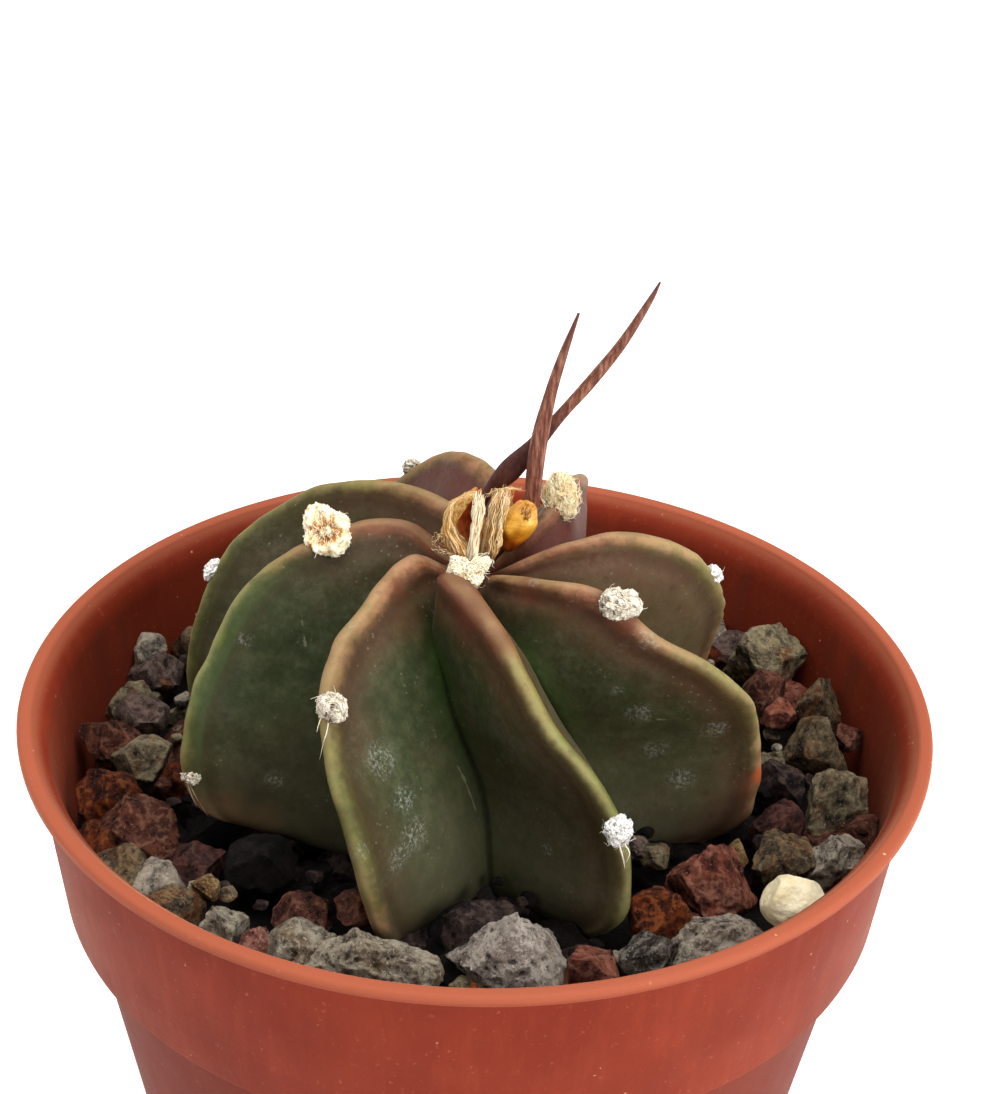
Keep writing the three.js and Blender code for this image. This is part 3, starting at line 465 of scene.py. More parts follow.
class Finish:
    """A material whose patterns are laid on the piece's own coordinates, in millimetres."""

    def __init__(self, name, roughness=0.5, **fixed):
        self.material = bpy.data.materials.new(name)
        self.material.use_nodes = True
        self.nodes = self.material.node_tree.nodes
        self.links = self.material.node_tree.links
        self.shader = self.nodes["Principled BSDF"]
        self.shader.inputs["Roughness"].default_value = roughness
        for socket, value in fixed.items():
            self.put(self.shader.inputs[socket.replace("_", " ")], value)
        on_piece = self.nodes.new("ShaderNodeTexCoord").outputs["Object"]
        self.in_mm = self.node("Mapping", {"Scale": (1 / MM,) * 3, "Vector": on_piece}).outputs[0]
        self.height = None

    def put(self, socket, value):
        """Links an output or sets a value, where a colour of three numbers is in everyday values."""
        if isinstance(value, bpy.types.NodeSocket):
            self.links.new(value, socket)
        elif socket.type == "RGBA" and len(value) == 3:
            socket.default_value = srgb(*value)
        elif value is not None:
            socket.default_value = value

    def node(self, kind, inputs, **settings):
        node = self.nodes.new("ShaderNode" + kind)
        for name, value in settings.items():
            setattr(node, name, value)
        for socket, value in inputs.items():
            self.put(node.inputs[socket], value)
        return node

    def noise(self, size, detail=3.0, rough=0.5, distortion=0.0, stretch=None):
        source = self.in_mm
        if stretch:
            source = self.node("Mapping", {"Scale": stretch, "Vector": source}).outputs[0]
        return self.node("TexNoise", {"Scale": 1 / size, "Detail": detail, "Roughness": rough,
                                      "Distortion": distortion, "Vector": source}).outputs["Fac"]

    def cells(self, size):
        return self.node("TexVoronoi", {"Scale": 1 / size, "Vector": self.in_mm}).outputs["Distance"]

    def level(self):
        """The height in the frame, in millimetres."""
        return self.node("SeparateXYZ", {0: self.in_mm}).outputs["Z"]

    def layer(self, name):
        return self.node("Attribute", {}, attribute_name=name).outputs["Fac"]

    def where(self, source, low, high):
        """0 below low and 1 above high, or the other way round where low is the larger."""
        return self.node("MapRange", {"Value": source, "From Min": low, "From Max": high, "To Min": 0.0,
                                      "To Max": 1.0}, interpolation_type="SMOOTHSTEP").outputs["Result"]

    def vector(self, operation, a, b=None):
        return self.node("VectorMath", {0: a, 1: b}, operation=operation)

    def sum(self, operation, a, b):
        return self.node("Math", {0: a, 1: b}, operation=operation).outputs[0]

    def scaled(self, source, by, plus):
        return self.node("Math", {0: source, 1: by, 2: plus}, operation="MULTIPLY_ADD").outputs[0]

    def times(self, a, b):
        return self.sum("MULTIPLY", a, b)

    def stroke(self, start, end, width):
        """1 on the line between two places, given with their heights above the rim, and 0 beside it."""
        start, end = in_frame((start, end))
        way = end - start
        offset = self.vector("SUBTRACT", self.in_mm, start).outputs[0]
        aside = self.vector("CROSS_PRODUCT", offset, way.normalized()).outputs[0]
        away = self.vector("LENGTH", aside).outputs["Value"]
        run = self.vector("DOT_PRODUCT", offset, way / way.length_squared).outputs["Value"]
        ends = self.times(self.where(run, 0.0, 0.12), self.where(run, 1.0, 0.88))
        wavering = self.scaled(self.noise(0.8, 3), 0.5, away)
        return self.times(ends, self.where(wavering, 0.25 + width, 0.25 + width / 3))

    def mix(self, share, a, b):
        return self.node("Mix", {0: share, 6: a, 7: b}, data_type="RGBA").outputs[2]

    def laid(self, under, mask, strength, colour):
        """A colour laid over the one under it, as strongly as a mask and a strength say."""
        return self.mix(self.times(mask, strength), under, colour)

    def ramp(self, source, *stops):
        node = self.node("ValToRGB", {"Fac": source})
        elements = node.color_ramp.elements
        for _ in range(len(stops) - len(elements)):
            elements.new(0.5)
        for element, (position, colour) in zip(elements, stops):
            element.position = position
            element.color = srgb(*colour)
        return node.outputs["Color"]

    def colour(self, value):
        self.put(self.shader.inputs["Base Color"], value)

    def gloss(self, value):
        self.put(self.shader.inputs["Roughness"], value)

    def relief(self, source, depth, strength=1.0):
        """Adds a bump of that depth in millimetres to the ones before it."""
        node = self.node("Bump", {"Strength": strength, "Distance": depth * MM, "Height": source})
        if self.height:
            self.links.new(self.height, node.inputs["Normal"])
        self.height = node.outputs["Normal"]
        self.links.new(self.height, self.shader.inputs["Normal"])


def terracotta_plastic():
    f = Finish("terracotta_plastic", Specular_IOR_Level=0.05, Sheen_Roughness=0.3, Sheen_Tint=(255, 186, 144))
    inside = f.layer("inside")
    outside = f.sum("SUBTRACT", 1.0, inside)
    plain = f.mix(f.where(f.noise(9, 3), 0.35, 0.7), (111, 38, 22), (123, 45, 27))
    streaks = f.times(f.where(f.noise(1.2, 4, 0.6, stretch=(1, 1, 0.14)), 0.45, 0.7), outside)
    streaked = f.laid(plain, streaks, 0.1, (164, 74, 46))
    # The lip is painted paler than the body, as a painted highlight on its top face.
    lip = f.times(f.where(f.level(), RIM_Z - 0.5, RIM_Z + 0.25), 0.85)
    worn = f.mix(lip, streaked, (157, 84, 60))
    f.put(f.shader.inputs["Sheen Weight"], f.scaled(lip, 0.5, f.times(outside, 0.12)))
    lined = f.laid(worn, inside, 0.8, (106, 45, 31))
    dusty = f.laid(lined, f.where(f.noise(0.5, 5, 0.7), 0.6, 0.74), 0.26, (196, 122, 92))
    scattered = f.where(f.noise(5.0, 3), 0.42, 0.6)
    motes = f.times(f.where(f.cells(0.85), 0.16, 0.1), f.where(f.noise(0.9, 2), 0.6, 0.66))
    f.colour(f.laid(dusty, f.times(motes, scattered), 0.55, (232, 184, 146)))
    f.gloss(f.scaled(f.noise(2.5, 3), 0.16, 0.5))
    f.relief(f.noise(0.35, 2), 0.02)
    f.relief(f.noise(4.0, 2, stretch=(1, 1, 0.3)), 0.1)
    return f.material


def lava(name):
    light, middle, dark, specks, tinge, rarity = LAVA[name]
    black = (*(0.16 * part for part in srgb(*dark)[:3]), 1.0)
    f = Finish("lava_" + name, 0.95, Specular_IOR_Level=0.15)
    base = f.ramp(f.noise(1.6, 6, 0.7, 0.6), (0.36, dark), (0.47, middle), (0.6, light))
    tinged = f.laid(base, f.where(f.noise(2.4, 5, 0.65), 0.5, 0.64), 0.75, tinge)
    rise = f.sum("ADD", f.layer("rise"), f.scaled(f.noise(0.3, 4, 0.7), 0.7, -0.35))
    # Raised crags get the speck colour as a painted highlight, and the pits are painted near black as painted
    # shade.
    edges = f.laid(tinged, f.where(rise, 0.1, 0.42), 0.5, specks)
    pitted = f.laid(edges, f.where(rise, -0.06, -0.5), 0.85, black)
    dusted = f.laid(pitted, f.where(f.noise(0.2, 3, 0.7), rarity - 0.03, rarity + 0.05), 0.8, specks)
    f.colour(f.laid(dusted, f.where(f.noise(0.26, 4, 0.75), 0.43, 0.36), 0.75, black))
    f.relief(f.noise(0.55, 6, 0.76), 0.45)
    f.relief(f.noise(0.2, 4, 0.75), 0.25)
    return f.material


def cream_pumice():
    f = Finish("cream_pumice", 0.92, Specular_IOR_Level=0.2)
    body = f.mix(f.where(f.noise(1.6, 4), 0.4, 0.65), (228, 216, 182), (214, 197, 156))
    smudged = f.laid(body, f.where(f.noise(0.8, 4, 0.6), 0.64, 0.74), 0.4, (176, 166, 136))
    f.colour(f.laid(smudged, f.where(f.noise(0.3, 3, 0.6), 0.38, 0.3), 0.5, (186, 168, 128)))
    f.relief(f.noise(0.9, 4, 0.6), 0.2, 0.6)
    f.relief(f.noise(0.28, 3, 0.6), 0.12, 0.7)
    return f.material


def flank_colour(f, depth, tint):
    """Olive green with brown clouds, greener by the groove, and browner or greener beside the crest."""
    flank = f.mix(f.times(f.where(f.noise(7.5, 3, 0.55, 0.6), 0.44, 0.68), 0.75), (45, 53, 28), (69, 60, 42))
    flank = f.laid(flank, f.where(f.noise(1.3, 6, 0.68), 0.38, 0.7), 0.45, (84, 85, 60))
    flank = f.laid(flank, f.where(f.noise(0.42, 5, 0.75), 0.46, 0.62), 0.3, (36, 37, 25))
    flank = f.laid(flank, f.where(f.noise(3.2, 4, 0.6), 0.54, 0.68), 0.4, (35, 39, 24))
    # Paler toward the gravel: partly dust, partly painted light that lifts the shade low on the flanks.
    flank = f.laid(flank, f.where(f.level(), RIM_Z + 4, RIM_Z - 6), 0.42, (93, 87, 67))
    near_groove = f.layer("near_groove")
    upper = f.scaled(f.where(f.level(), RIM_Z - 1, RIM_Z + 8), 0.55, 0.15)
    flank = f.mix(f.times(near_groove, upper), flank, (50, 78, 28))
    # Near black at the bottom of each groove: painted shade in the crease.
    flank = f.laid(flank, f.where(near_groove, 0.9, 1.0), 0.6, (22, 25, 13))
    green_verge = f.times(f.where(depth, 2.2, 0.9), f.where(tint, 0.6, 0.15))
    flank = f.laid(flank, green_verge, 0.45, (62, 76, 34))
    uneven_depth = f.scaled(f.noise(2.4, 3), 3.0, depth)
    brown_verge = f.times(f.where(uneven_depth, 6.8, 2.0), f.layer("verge"))
    flank = f.laid(flank, brown_verge, 0.8, (84, 45, 32))
    flank = f.laid(flank, f.layer("tan"), 0.55, (118, 92, 64))
    # A dark line in the pinch below the crest: partly a brown line on the skin, partly painted shade in the
    # crease.
    seam_shade = f.times(f.where(depth, 2.4, 1.5), f.where(depth, 0.9, 1.3))
    return f.laid(flank, seam_shade, 0.35, (46, 30, 20))


def crest_colour(f, depth, tint):
    """Yellow-green, tan or red-brown, with a paler edge that is a painted highlight, stains, worn patches,
    and pale patches that are partly painted highlight.
    """
    shade = f.sum("ADD", tint, f.scaled(f.noise(2.2, 4, 0.6), 0.5, -0.25))
    crest = f.ramp(shade, (0.05, (101, 110, 51)), (0.3, (115, 110, 57)), (0.52, (126, 98, 60)),
                   (0.75, (116, 70, 46)), (0.97, (86, 42, 31)))
    crest = f.laid(crest, f.where(f.noise(1.1, 5, 0.65), 0.5, 0.7), 0.28, (152, 116, 80))
    # Pale pink-tan patches on the crest: partly its own colour, partly painted highlight.
    patchy = f.times(f.layer("pale"), f.where(f.noise(1.6, 4, 0.6), 0.36, 0.6))
    crest = f.laid(crest, patchy, 0.6, (190, 140, 108))
    crest = f.laid(crest, f.where(f.noise(0.9, 5, 0.7), 0.56, 0.68), 0.5, (88, 60, 40))
    # A paler edge along the top of the crest: painted highlight.
    return f.laid(crest, f.where(depth, 0.25, 0.02), 0.28, (162, 144, 106))


def marked_skin(f, skin, depth):
    """Red-brown and purple flushes, specks, bruises, a thin film, chalky patches and scratches."""
    blotch = f.sum("ADD", f.noise(1.8, 4, 0.6), 0.45)
    skin = f.laid(skin, f.where(f.times(f.layer("flush"), blotch), 0.1, 0.95), 0.66, (98, 51, 36))
    skin = f.laid(skin, f.where(f.times(f.layer("ember"), blotch), 0.05, 0.6), 0.9, (176, 82, 44))
    purple = f.where(f.times(f.layer("purple"), blotch), 0.1, 0.8)
    skin = f.laid(skin, f.times(purple, f.where(depth, 0.7, 1.4)), 0.75, (98, 52, 46))
    specks = f.times(f.where(f.cells(0.55), 0.2, 0.1), f.where(f.noise(3.4, 3), 0.48, 0.66))
    skin = f.laid(skin, specks, 0.35, (132, 130, 112))
    bruises = f.where(f.times(f.cells(2.3), f.sum("ADD", f.noise(1.2, 3), 0.5)), 0.16, 0.1)
    skin = f.laid(skin, bruises, 0.25, (45, 30, 27))
    film = f.times(f.where(f.noise(5.5, 4, 0.6), 0.45, 0.7), f.where(f.noise(0.45, 4, 0.7), 0.4, 0.65))
    skin = f.laid(skin, film, 0.1, (125, 127, 112))
    chalk = f.times(f.where(f.layer("chalk"), 0.0, 0.7), f.where(f.noise(0.28, 6, 0.8), 0.47, 0.62))
    skin = f.laid(skin, chalk, 0.6, (146, 148, 136))
    for start, end in SCRATCHES:
        skin = f.laid(skin, f.stroke(start, end, 0.1), 0.4, (145, 137, 114))
    return skin


def waxy_flesh():
    f = Finish("cactus_flesh", Specular_IOR_Level=0.12, Sheen_Weight=0.07, Sheen_Roughness=0.3,
               Sheen_Tint=(255, 226, 176), Subsurface_Weight=0.04, Subsurface_Scale=0.002)
    depth, tint = f.layer("below_crest"), f.layer("tint")
    wavy = f.scaled(f.noise(1.5, 5, 0.65), 1.7, f.sum("SUBTRACT", depth, 0.85))
    narrowed = f.sum("ADD", f.layer("lean"), f.scaled(tint, -0.8, wavy))
    band = f.times(f.where(narrowed, 1.0, -0.3), f.where(f.level(), RIM_Z - 7.2, RIM_Z - 5.6))
    skin = f.mix(f.times(band, 0.94), flank_colour(f, depth, tint), crest_colour(f, depth, tint))
    f.colour(marked_skin(f, skin, depth))
    f.gloss(f.scaled(f.noise(1.2, 4, 0.6), 0.22, 0.42))
    f.relief(f.noise(2.2, 3), 0.16, 0.6)
    f.relief(f.noise(0.3, 3, 0.6), 0.03, 0.7)
    return f.material


def areole_wool(name):
    pale, middle, deep = WOOL[name]
    f = Finish("wool_" + name, 0.95, Specular_IOR_Level=0.1)
    tint = f.sum("ADD", f.layer("tint"), f.scaled(f.noise(0.5, 4, 0.7), 0.7, -0.35))
    f.colour(f.ramp(tint, (0.08, deep), (0.42, middle), (0.68, pale)))
    f.relief(f.noise(0.2, 3, 0.7), 0.1, 0.5)
    return f.material


def horn(name, dark_part):
    f = Finish("horn_" + name, 0.55, Specular_IOR_Level=0.2)
    streaks = f.noise(0.22, 4, 0.65, stretch=(1, 1, 0.12))
    base = f.ramp(streaks, (0.32, (74, 38, 30)), (0.5, (116, 68, 52)), (0.68, (158, 114, 92)))
    run = f.layer("run")
    root = f.where(f.scaled(f.noise(0.8, 3), 0.16, run), dark_part + 0.14, dark_part)
    rooted = f.laid(base, root, 0.85, (60, 26, 25))
    blots = f.times(f.where(f.noise(0.5, 3), 0.6, 0.68), f.where(run, 0.6, 0.0))
    blotted = f.laid(rooted, blots, 0.7, (48, 24, 20))
    f.colour(f.laid(blotted, f.where(run, 0.7, 1.0), 0.7, (84, 44, 38)))
    f.relief(streaks, 0.08, 0.7)
    return f.material


def dry_husk():
    f = Finish("dry_husk", 0.7, Specular_IOR_Level=0.3, Subsurface_Weight=0.15, Subsurface_Scale=0.001)
    fibres = f.noise(0.2, 5, 0.7, 0.6, stretch=(1, 1, 0.3))
    base = f.ramp(fibres, (0.34, (122, 72, 26)), (0.46, (190, 134, 62)), (0.6, (228, 186, 116)))
    hollow = f.mix(f.where(f.noise(0.7, 4), 0.4, 0.6), (230, 128, 62), (178, 78, 32))
    f.colour(f.laid(base, f.layer("inside"), 0.9, hollow))
    f.relief(fibres, 0.14, 0.9)
    return f.material


def dry_strand():
    f = Finish("dry_strand", 0.85, Specular_IOR_Level=0.15)
    f.colour(f.ramp(f.layer("tint"), (0.05, (116, 70, 28)), (0.35, (206, 154, 84)), (0.6, (232, 202, 146)),
                    (0.95, (250, 240, 214))))
    return f.material


def amber_skin():
    f = Finish("amber_skin", 0.36, Specular_IOR_Level=0.35, Subsurface_Weight=0.2, Subsurface_Scale=0.001)
    # Lighter toward the top and darker low down: painted light from above and painted shade on the lower
    # part, with noise.
    upper = f.where(f.level(), RIM_Z + 11.6, RIM_Z + 14.4)
    glow = f.scaled(upper, 0.5, f.times(f.noise(0.9, 4, 0.6), 0.5))
    base = f.ramp(glow, (0.2, (120, 46, 8)), (0.4, (176, 92, 12)), (0.62, (208, 142, 34)),
                  (0.88, (228, 184, 82)))
    lines = f.where(f.noise(0.3, 3, 0.6, stretch=(0.3, 0.3, 1.6)), 0.55, 0.65)
    lined = f.laid(base, lines, 0.4, (134, 64, 22))
    crown = f.where(f.scaled(f.noise(0.6, 3), 1.2, f.level()), RIM_Z + 14.9, RIM_Z + 15.6)
    f.colour(f.laid(lined, crown, 0.45, (140, 66, 22)))
    f.relief(f.noise(0.5, 4, 0.6), 0.1, 0.8)
    return f.material


def dressed(piece, slot, material, *nodes):
    """Gives a finished piece its finish and its body, and hides the frame's nodes that it stands for."""
    piece.data.materials.clear()
    piece.data.materials.append(material)
    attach(piece, "root")
    if nodes:
        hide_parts(*nodes)
    return piece


# Pot

def flower_pot():
    floor_top = FOOT_HEIGHT + FLOOR_THICKNESS
    foot_inside = FOOT_RADIUS - FOOT_WIDTH
    profile = [
        (foot_inside, FOOT_HEIGHT), (foot_inside, 0.3), (foot_inside + 0.3, 0),
        (FOOT_RADIUS - 0.4, 0), (FOOT_RADIUS - 0.1, 0.1), (FOOT_RADIUS, 0.5),
        (NECK_RADIUS - 0.05, COLLAR_FOOT_Z - 1.0), (NECK_RADIUS + 0.05, COLLAR_FOOT_Z - 0.35),
        (NECK_RADIUS + 0.4, COLLAR_FOOT_Z - 0.08), (COLLAR_FOOT_RADIUS - 0.35, COLLAR_FOOT_Z),
        (COLLAR_FOOT_RADIUS - 0.1, COLLAR_FOOT_Z + 0.1), (COLLAR_FOOT_RADIUS, COLLAR_FOOT_Z + 0.4),
        (COLLAR_TOP_RADIUS - 0.08, RIM_Z - 1.8), (COLLAR_TOP_RADIUS, RIM_Z - LIP_BELOW - 0.3),
        (COLLAR_TOP_RADIUS + 0.12, RIM_Z - LIP_BELOW - 0.08),
        *arc(RIM_RADIUS - 0.3, RIM_Z - LIP_BELOW + 0.3, 0.3, -85, 0, 6),
        *arc(RIM_RADIUS - 0.35, RIM_Z + LIP_ABOVE - 0.35, 0.35, 6, 84, 6),
        *arc(RIM_RADIUS - LIP_WIDTH + 0.4, RIM_Z + LIP_ABOVE - 0.4, 0.4, 96, 165, 6),
        (COLLAR_TOP_RADIUS - WALL * 0.55, RIM_Z - 0.4), (COLLAR_TOP_RADIUS - WALL * 0.9, RIM_Z - 1.1),
        (COLLAR_TOP_RADIUS - WALL, RIM_Z - 2), (COLLAR_FOOT_RADIUS - WALL, COLLAR_FOOT_Z + 0.6),
        (NECK_RADIUS - WALL, COLLAR_FOOT_Z - 0.4), (FOOT_RADIUS - 0.6, floor_top + 1),
        (FOOT_RADIUS - 0.9, floor_top + 0.3), (FOOT_RADIUS - 1.6, floor_top),
    ]
    pot = turned_shell("flower_pot", profile, POT_SIDES)
    drills = []
    turns = [math.tau * i / DRAIN_COUNT for i in range(DRAIN_COUNT)]
    for x, y in [(0, 0)] + [(DRAIN_CIRCLE * math.cos(turn), DRAIN_CIRCLE * math.sin(turn)) for turn in turns]:
        drills.append(added(bpy.ops.mesh.primitive_cylinder_add, vertices=40, radius=DRAIN_RADIUS * MM,
                            depth=10 * MM, location=(x * MM, y * MM, 0)))
    drill = joined("drill", drills)
    cut = pot.modifiers.new("drain_holes", "BOOLEAN")
    cut.operation = "DIFFERENCE"
    cut.solver = "EXACT"
    cut.object = drill
    choose(pot)
    bpy.ops.object.modifier_apply(modifier=cut.name)
    bpy.data.objects.remove(drill)
    inside = []
    for vertex in pot.data.vertices:
        spot = vertex.co / MM
        within = spot.xy.length < wall_radius(spot.z - RIM_Z) + 0.2
        inside.append(float(within and spot.z < RIM_Z - 0.8))
    keep_layer(pot, "inside", inside)
    return dressed(rounded(pot, 35), "terracotta_plastic", terracotta_plastic(), "pot")


# Grit

def wall_radius(height):
    """The pot's inside radius at a height above the rim."""
    top, foot = COLLAR_TOP_RADIUS - WALL, COLLAR_FOOT_RADIUS - WALL
    share = (RIM_Z + height - COLLAR_FOOT_Z) / (RIM_Z - COLLAR_FOOT_Z)
    return foot + (top - foot) * min(max(share, 0.0), 1.0)


def heading(azimuth, rise):
    """A direction by its azimuth and its rise in degrees."""
    azimuth, rise = math.radians(azimuth), math.radians(rise)
    return Vector((math.cos(azimuth) * math.cos(rise), math.sin(azimuth) * math.cos(rise), math.sin(rise)))


def sized(point, size):
    """A place on a unit shape, stretched to a size."""
    return Vector(a * b for a, b in zip(point, size))


def evenly_spread(k, count, draw):
    """One of many directions spread evenly over a ball, a little astray."""
    rise = math.degrees(math.asin(1 - 2 * (k + 0.5) / count))
    return heading(GOLDEN_ANGLE * k + draw.uniform(-25, 25), rise + draw.uniform(-12, 12))


def stone(place, size, turn, seed, flats, fineness, rough=1.0, facets=()):
    """An angular lump: a ball whose bulges are cut flat by planes, then cragged and pitted."""
    draw = random.Random(seed)
    planes = [(heading(azimuth, rise), reach) for azimuth, rise, reach in facets]
    planes += [(evenly_spread(k, flats, draw), draw.uniform(0.54, 0.86)) for k in range(flats)]
    piece = added(bpy.ops.mesh.primitive_ico_sphere_add, subdivisions=fineness, radius=1)
    half = Vector(size) / 2
    coarse = rough * min(sum(size) / 3, 6) / 4.5
    spin = Matrix.Rotation(math.radians(turn), 3, "Z")
    shift = Vector([draw.uniform(-50, 50) for _ in range(3)])
    rises = []
    for vertex in piece.data.vertices:
        point = vertex.co.copy()
        for normal, reach in planes:
            over = point.dot(normal) - reach
            if over > 0:
                point -= normal * over
        sample = sized(point, half) + shift
        lumps = noise.fractal(sample / 2.0, 0.7, 2.2, 3)
        crags = 0.3 - abs(noise.noise(sample / 1.0))
        grain = 0.3 - abs(noise.noise(sample / 0.42))
        pit = smooth(0.4, 0.16, noise.voronoi(sample / 0.5)[0][0])
        bump = 0.22 * lumps + 0.2 * crags + 0.12 * grain - 0.06 * pit
        rises.append(crags + 0.8 * grain - 0.25 * pit)
        spot = spin @ (sized(point, half) * 1.08 + point.normalized() * bump * coarse) + Vector(place)
        limit = wall_radius(spot.z) - 0.06
        reach = spot.xy.length
        if spot.z < -1 and reach > limit:
            spot.xy = spot.xy * limit / reach
        vertex.co = (spot + Vector((0, 0, RIM_Z))) * MM
    keep_layer(piece, "rise", rises)
    return piece


def under_plant(place):
    """Whether a place at the gravel's top lies within a rib."""
    spot = Vector(place[:2]) - Vector(AXIS)
    for name in RIB_NAMES:
        rib = crest_point(name, GRAVEL_STATION).xy - Vector(AXIS)
        out = rib.normalized()
        along_rib = spot.dot(out)
        if 0 < along_rib < rib.length and (spot - out * along_rib).length < RIB_CLEARANCE:
            return True
    return False


def top_stones():
    """The stones that show best, each sunk into the bed below it."""
    for number, (x, y, top, length, width, turn, finish, fineness, *facets) in enumerate(TOP_STONES):
        tall = top + BED_DEPTH + STONE_SINK
        place, size = (x, y, top - tall / 2), (length, width, tall)
        flats = 5 if facets else 12
        yield finish, stone(place, size, turn, STONE_SEED + number, flats, fineness, facets=facets)


def small_stones():
    for number, (*place, size, finish) in enumerate(SMALL_STONES):
        box = (size * 1.15, size, size * 0.9)
        yield finish, stone(place, box, 37 * number, SMALL_STONE_SEED + number, 10, 4)


def filling(draw):
    """Rings of stones wherever no other stone lies, and chips on the bed between them."""
    taken = [row[:2] for row in (*TOP_STONES, *SMALL_STONES, PUMICE)]
    for radius, depth, finishes in FILL_RINGS:
        count = int(math.tau * radius / FILL_SPACING)
        shift = draw.random()
        for i in range(count):
            angle = math.tau * (i + shift + 0.35 * draw.random()) / count
            reach = radius + draw.uniform(-0.8, 0.8)
            x, y = reach * math.cos(angle), reach * math.sin(angle)
            top = -depth - 1.1 * draw.random()
            size = (draw.uniform(4.2, 6.0), draw.uniform(3.6, 4.8), draw.uniform(3.4, 4.6))
            turn, finish, seed = draw.uniform(0, 180), draw.choice(finishes), draw.randrange(10 ** 6)
            if all(math.hypot(x - px, y - py) > CROWDED for px, py in taken):
                yield finish, stone((x, y, top - size[2] / 2), size, turn, seed, 10, 4)
    for number in range(CHIPS):
        angle, reach = draw.uniform(0, math.tau), math.sqrt(draw.uniform(0.16, 1)) * CHIP_REACH
        long, finish = draw.uniform(0.8, 1.8), draw.choice(CHIP_FINISHES if reach > SHADE_RADIUS else SHADED)
        place = (reach * math.cos(angle), reach * math.sin(angle), draw.uniform(-7.8, -6.4))
        if not under_plant(place):
            size = (long, long * 0.8, long * 0.7)
            yield finish, stone(place, size, 31 * number, CHIP_SEED + number, 9, 2)


def grit():
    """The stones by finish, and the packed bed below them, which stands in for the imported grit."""
    heaps = {name: [] for name in LAVA}
    for finish, piece in (*top_stones(), *small_stones(), *filling(random.Random(GRIT_SEED))):
        heaps[finish].append(piece)
    for name, stones in heaps.items():
        pile = rounded(joined("stones_" + name, stones), 32)
        dressed(pile, "lava_grit", lava(name))
    return packed_bed()


def packed_bed():
    """One cragged mass that fills the pot below the loose stones."""
    floor = FOOT_HEIGHT + FLOOR_THICKNESS + BED_GAP
    gap = WALL + BED_GAP
    edge, top = COLLAR_FOOT_RADIUS - WALL, RIM_Z - LOOSE_BED_DEPTH
    profile = [
        (0.4, floor), (FOOT_RADIUS - 1.6 - BED_GAP, floor), (FOOT_RADIUS - 0.6 - BED_GAP, floor + 1),
        (NECK_RADIUS - gap, COLLAR_FOOT_Z - 0.4), (COLLAR_FOOT_RADIUS - gap, COLLAR_FOOT_Z + 0.6),
        (edge, top - 0.1), *[(edge - i * 0.7, top) for i in range(1, 40)],
    ]
    bed = turned_shell("packed_grit", profile, 120)
    for vertex in bed.data.vertices:
        spot = vertex.co / MM
        if spot.z > top - 0.5:
            vertex.co.z += 1.1 * noise.fractal(spot / 3, 0.8, 2, 4) * MM
    bed.data.shade_smooth()
    # The bed's near-black deep finish is painted shade in the gaps between the stones.
    return dressed(bed, "lava_grit", lava("deep"), "grit_bed")


def pumice_stone():
    x, y, middle, *size, turn = PUMICE
    size = [side * PUMICE_SHARE for side in size]
    pebble = stone((x, y, middle), size, turn, 12, 0, 5, rough=0.7, facets=PUMICE_FACETS)
    pebble.name = "pumice_pebble"
    pebble.data.shade_smooth()
    return dressed(pebble, "cream_pumice", cream_pumice(), "pumice_stone")


def lip_crumbs():
    """Crumbs of pumice that were spilt on the lip."""
    draw = random.Random(CRUMB_SEED)
    crumbs = []
    for azimuth, inset, long in LIP_CRUMBS:
        x, y, _ = heading(azimuth, 0) * (RIM_RADIUS - inset)
        size = (long, long * 0.35, long * 0.3)
        turn, seed = draw.uniform(0, 180), draw.randrange(999)
        crumbs.append(stone((x, y, LIP_ABOVE - 0.16), size, turn, seed, 4, 3, 0.2))
    crumbs = joined("lip_crumbs", crumbs)
    crumbs.data.shade_smooth()
    return dressed(crumbs, "cream_pumice", bpy.data.materials["cream_pumice"])


# Cactus body

def crest_stations(name):
    """A rib's crest as the table has it, and on down to the root's tip."""
    crest = RIBS[name][2]
    foot_z = crest[-1][1] - UNDERSIDE_DROP
    return [*crest, *zip(UNDERSIDE_IN, (foot_z, *UNDERSIDE_Z))]


CREST_ROWS = {name: crest_stations(name) for name in RIBS}


def wound(azimuth, bow, t):
    """The azimuth at a station, in radians, of what lies at the first azimuth by the pot."""
    aside = bow * math.sin(math.pi * min(max((t - 2) / 9, 0), 1))
    return math.radians(azimuth + value_at(TWIST, t) + aside)


def placed(radius, angle, height):
    """A place by its distance and direction from the plant's axis and its height above the rim."""
    return Vector((AXIS[0] + radius * math.cos(angle), AXIS[1] + radius * math.sin(angle), RIM_Z + height))


def crest_point(name, t):
    azimuth, bow, _ = RIBS[name]
    radius, height = along(CREST_ROWS[name], t)
    if name in SWAYS and t > FIRST_SWAY:
        azimuth += value_at(SWAYS[name], t - FIRST_SWAY)
    return placed(radius, wound(azimuth, bow, t), height)


def groove_point(index, t):
    """The groove after a rib lies half-way to the next one."""
    azimuth, bow, _ = RIBS[RIB_NAMES[index]]
    next_azimuth, next_bow, _ = RIBS[RIB_NAMES[(index + 1) % len(RIBS)]]
    turn = 360 if index + 1 == len(RIBS) else 0
    radius, height = along(GROOVE, t)
    return placed(radius, wound((azimuth + next_azimuth + turn) / 2, (bow + next_bow) / 2, t), height)


def half_thickness(depth, full, to_groove, swell):
    """A rounded crest, a slight pinch behind it and a flank that widens to the groove."""
    crest = min(swell * CREST_WIDTH / 2, 0.75 * to_groove)
    bend = min(CREST_DEPTH, 0.5 * full)
    if depth < bend:
        rise = 1 - depth / bend
        return crest * math.sqrt(1 - rise * rise)
    share = (depth - bend) / (full - bend)
    pinch = 0.16 * math.exp(-((depth - 1.7) / 0.6) ** 2) * smooth(0.6, 1.6, crest / 0.6)
    belly = 0.35 * math.sin(math.pi * share) * smooth(2, 6, full)
    return crest + (to_groove - crest) * share - pinch + belly * 0.5


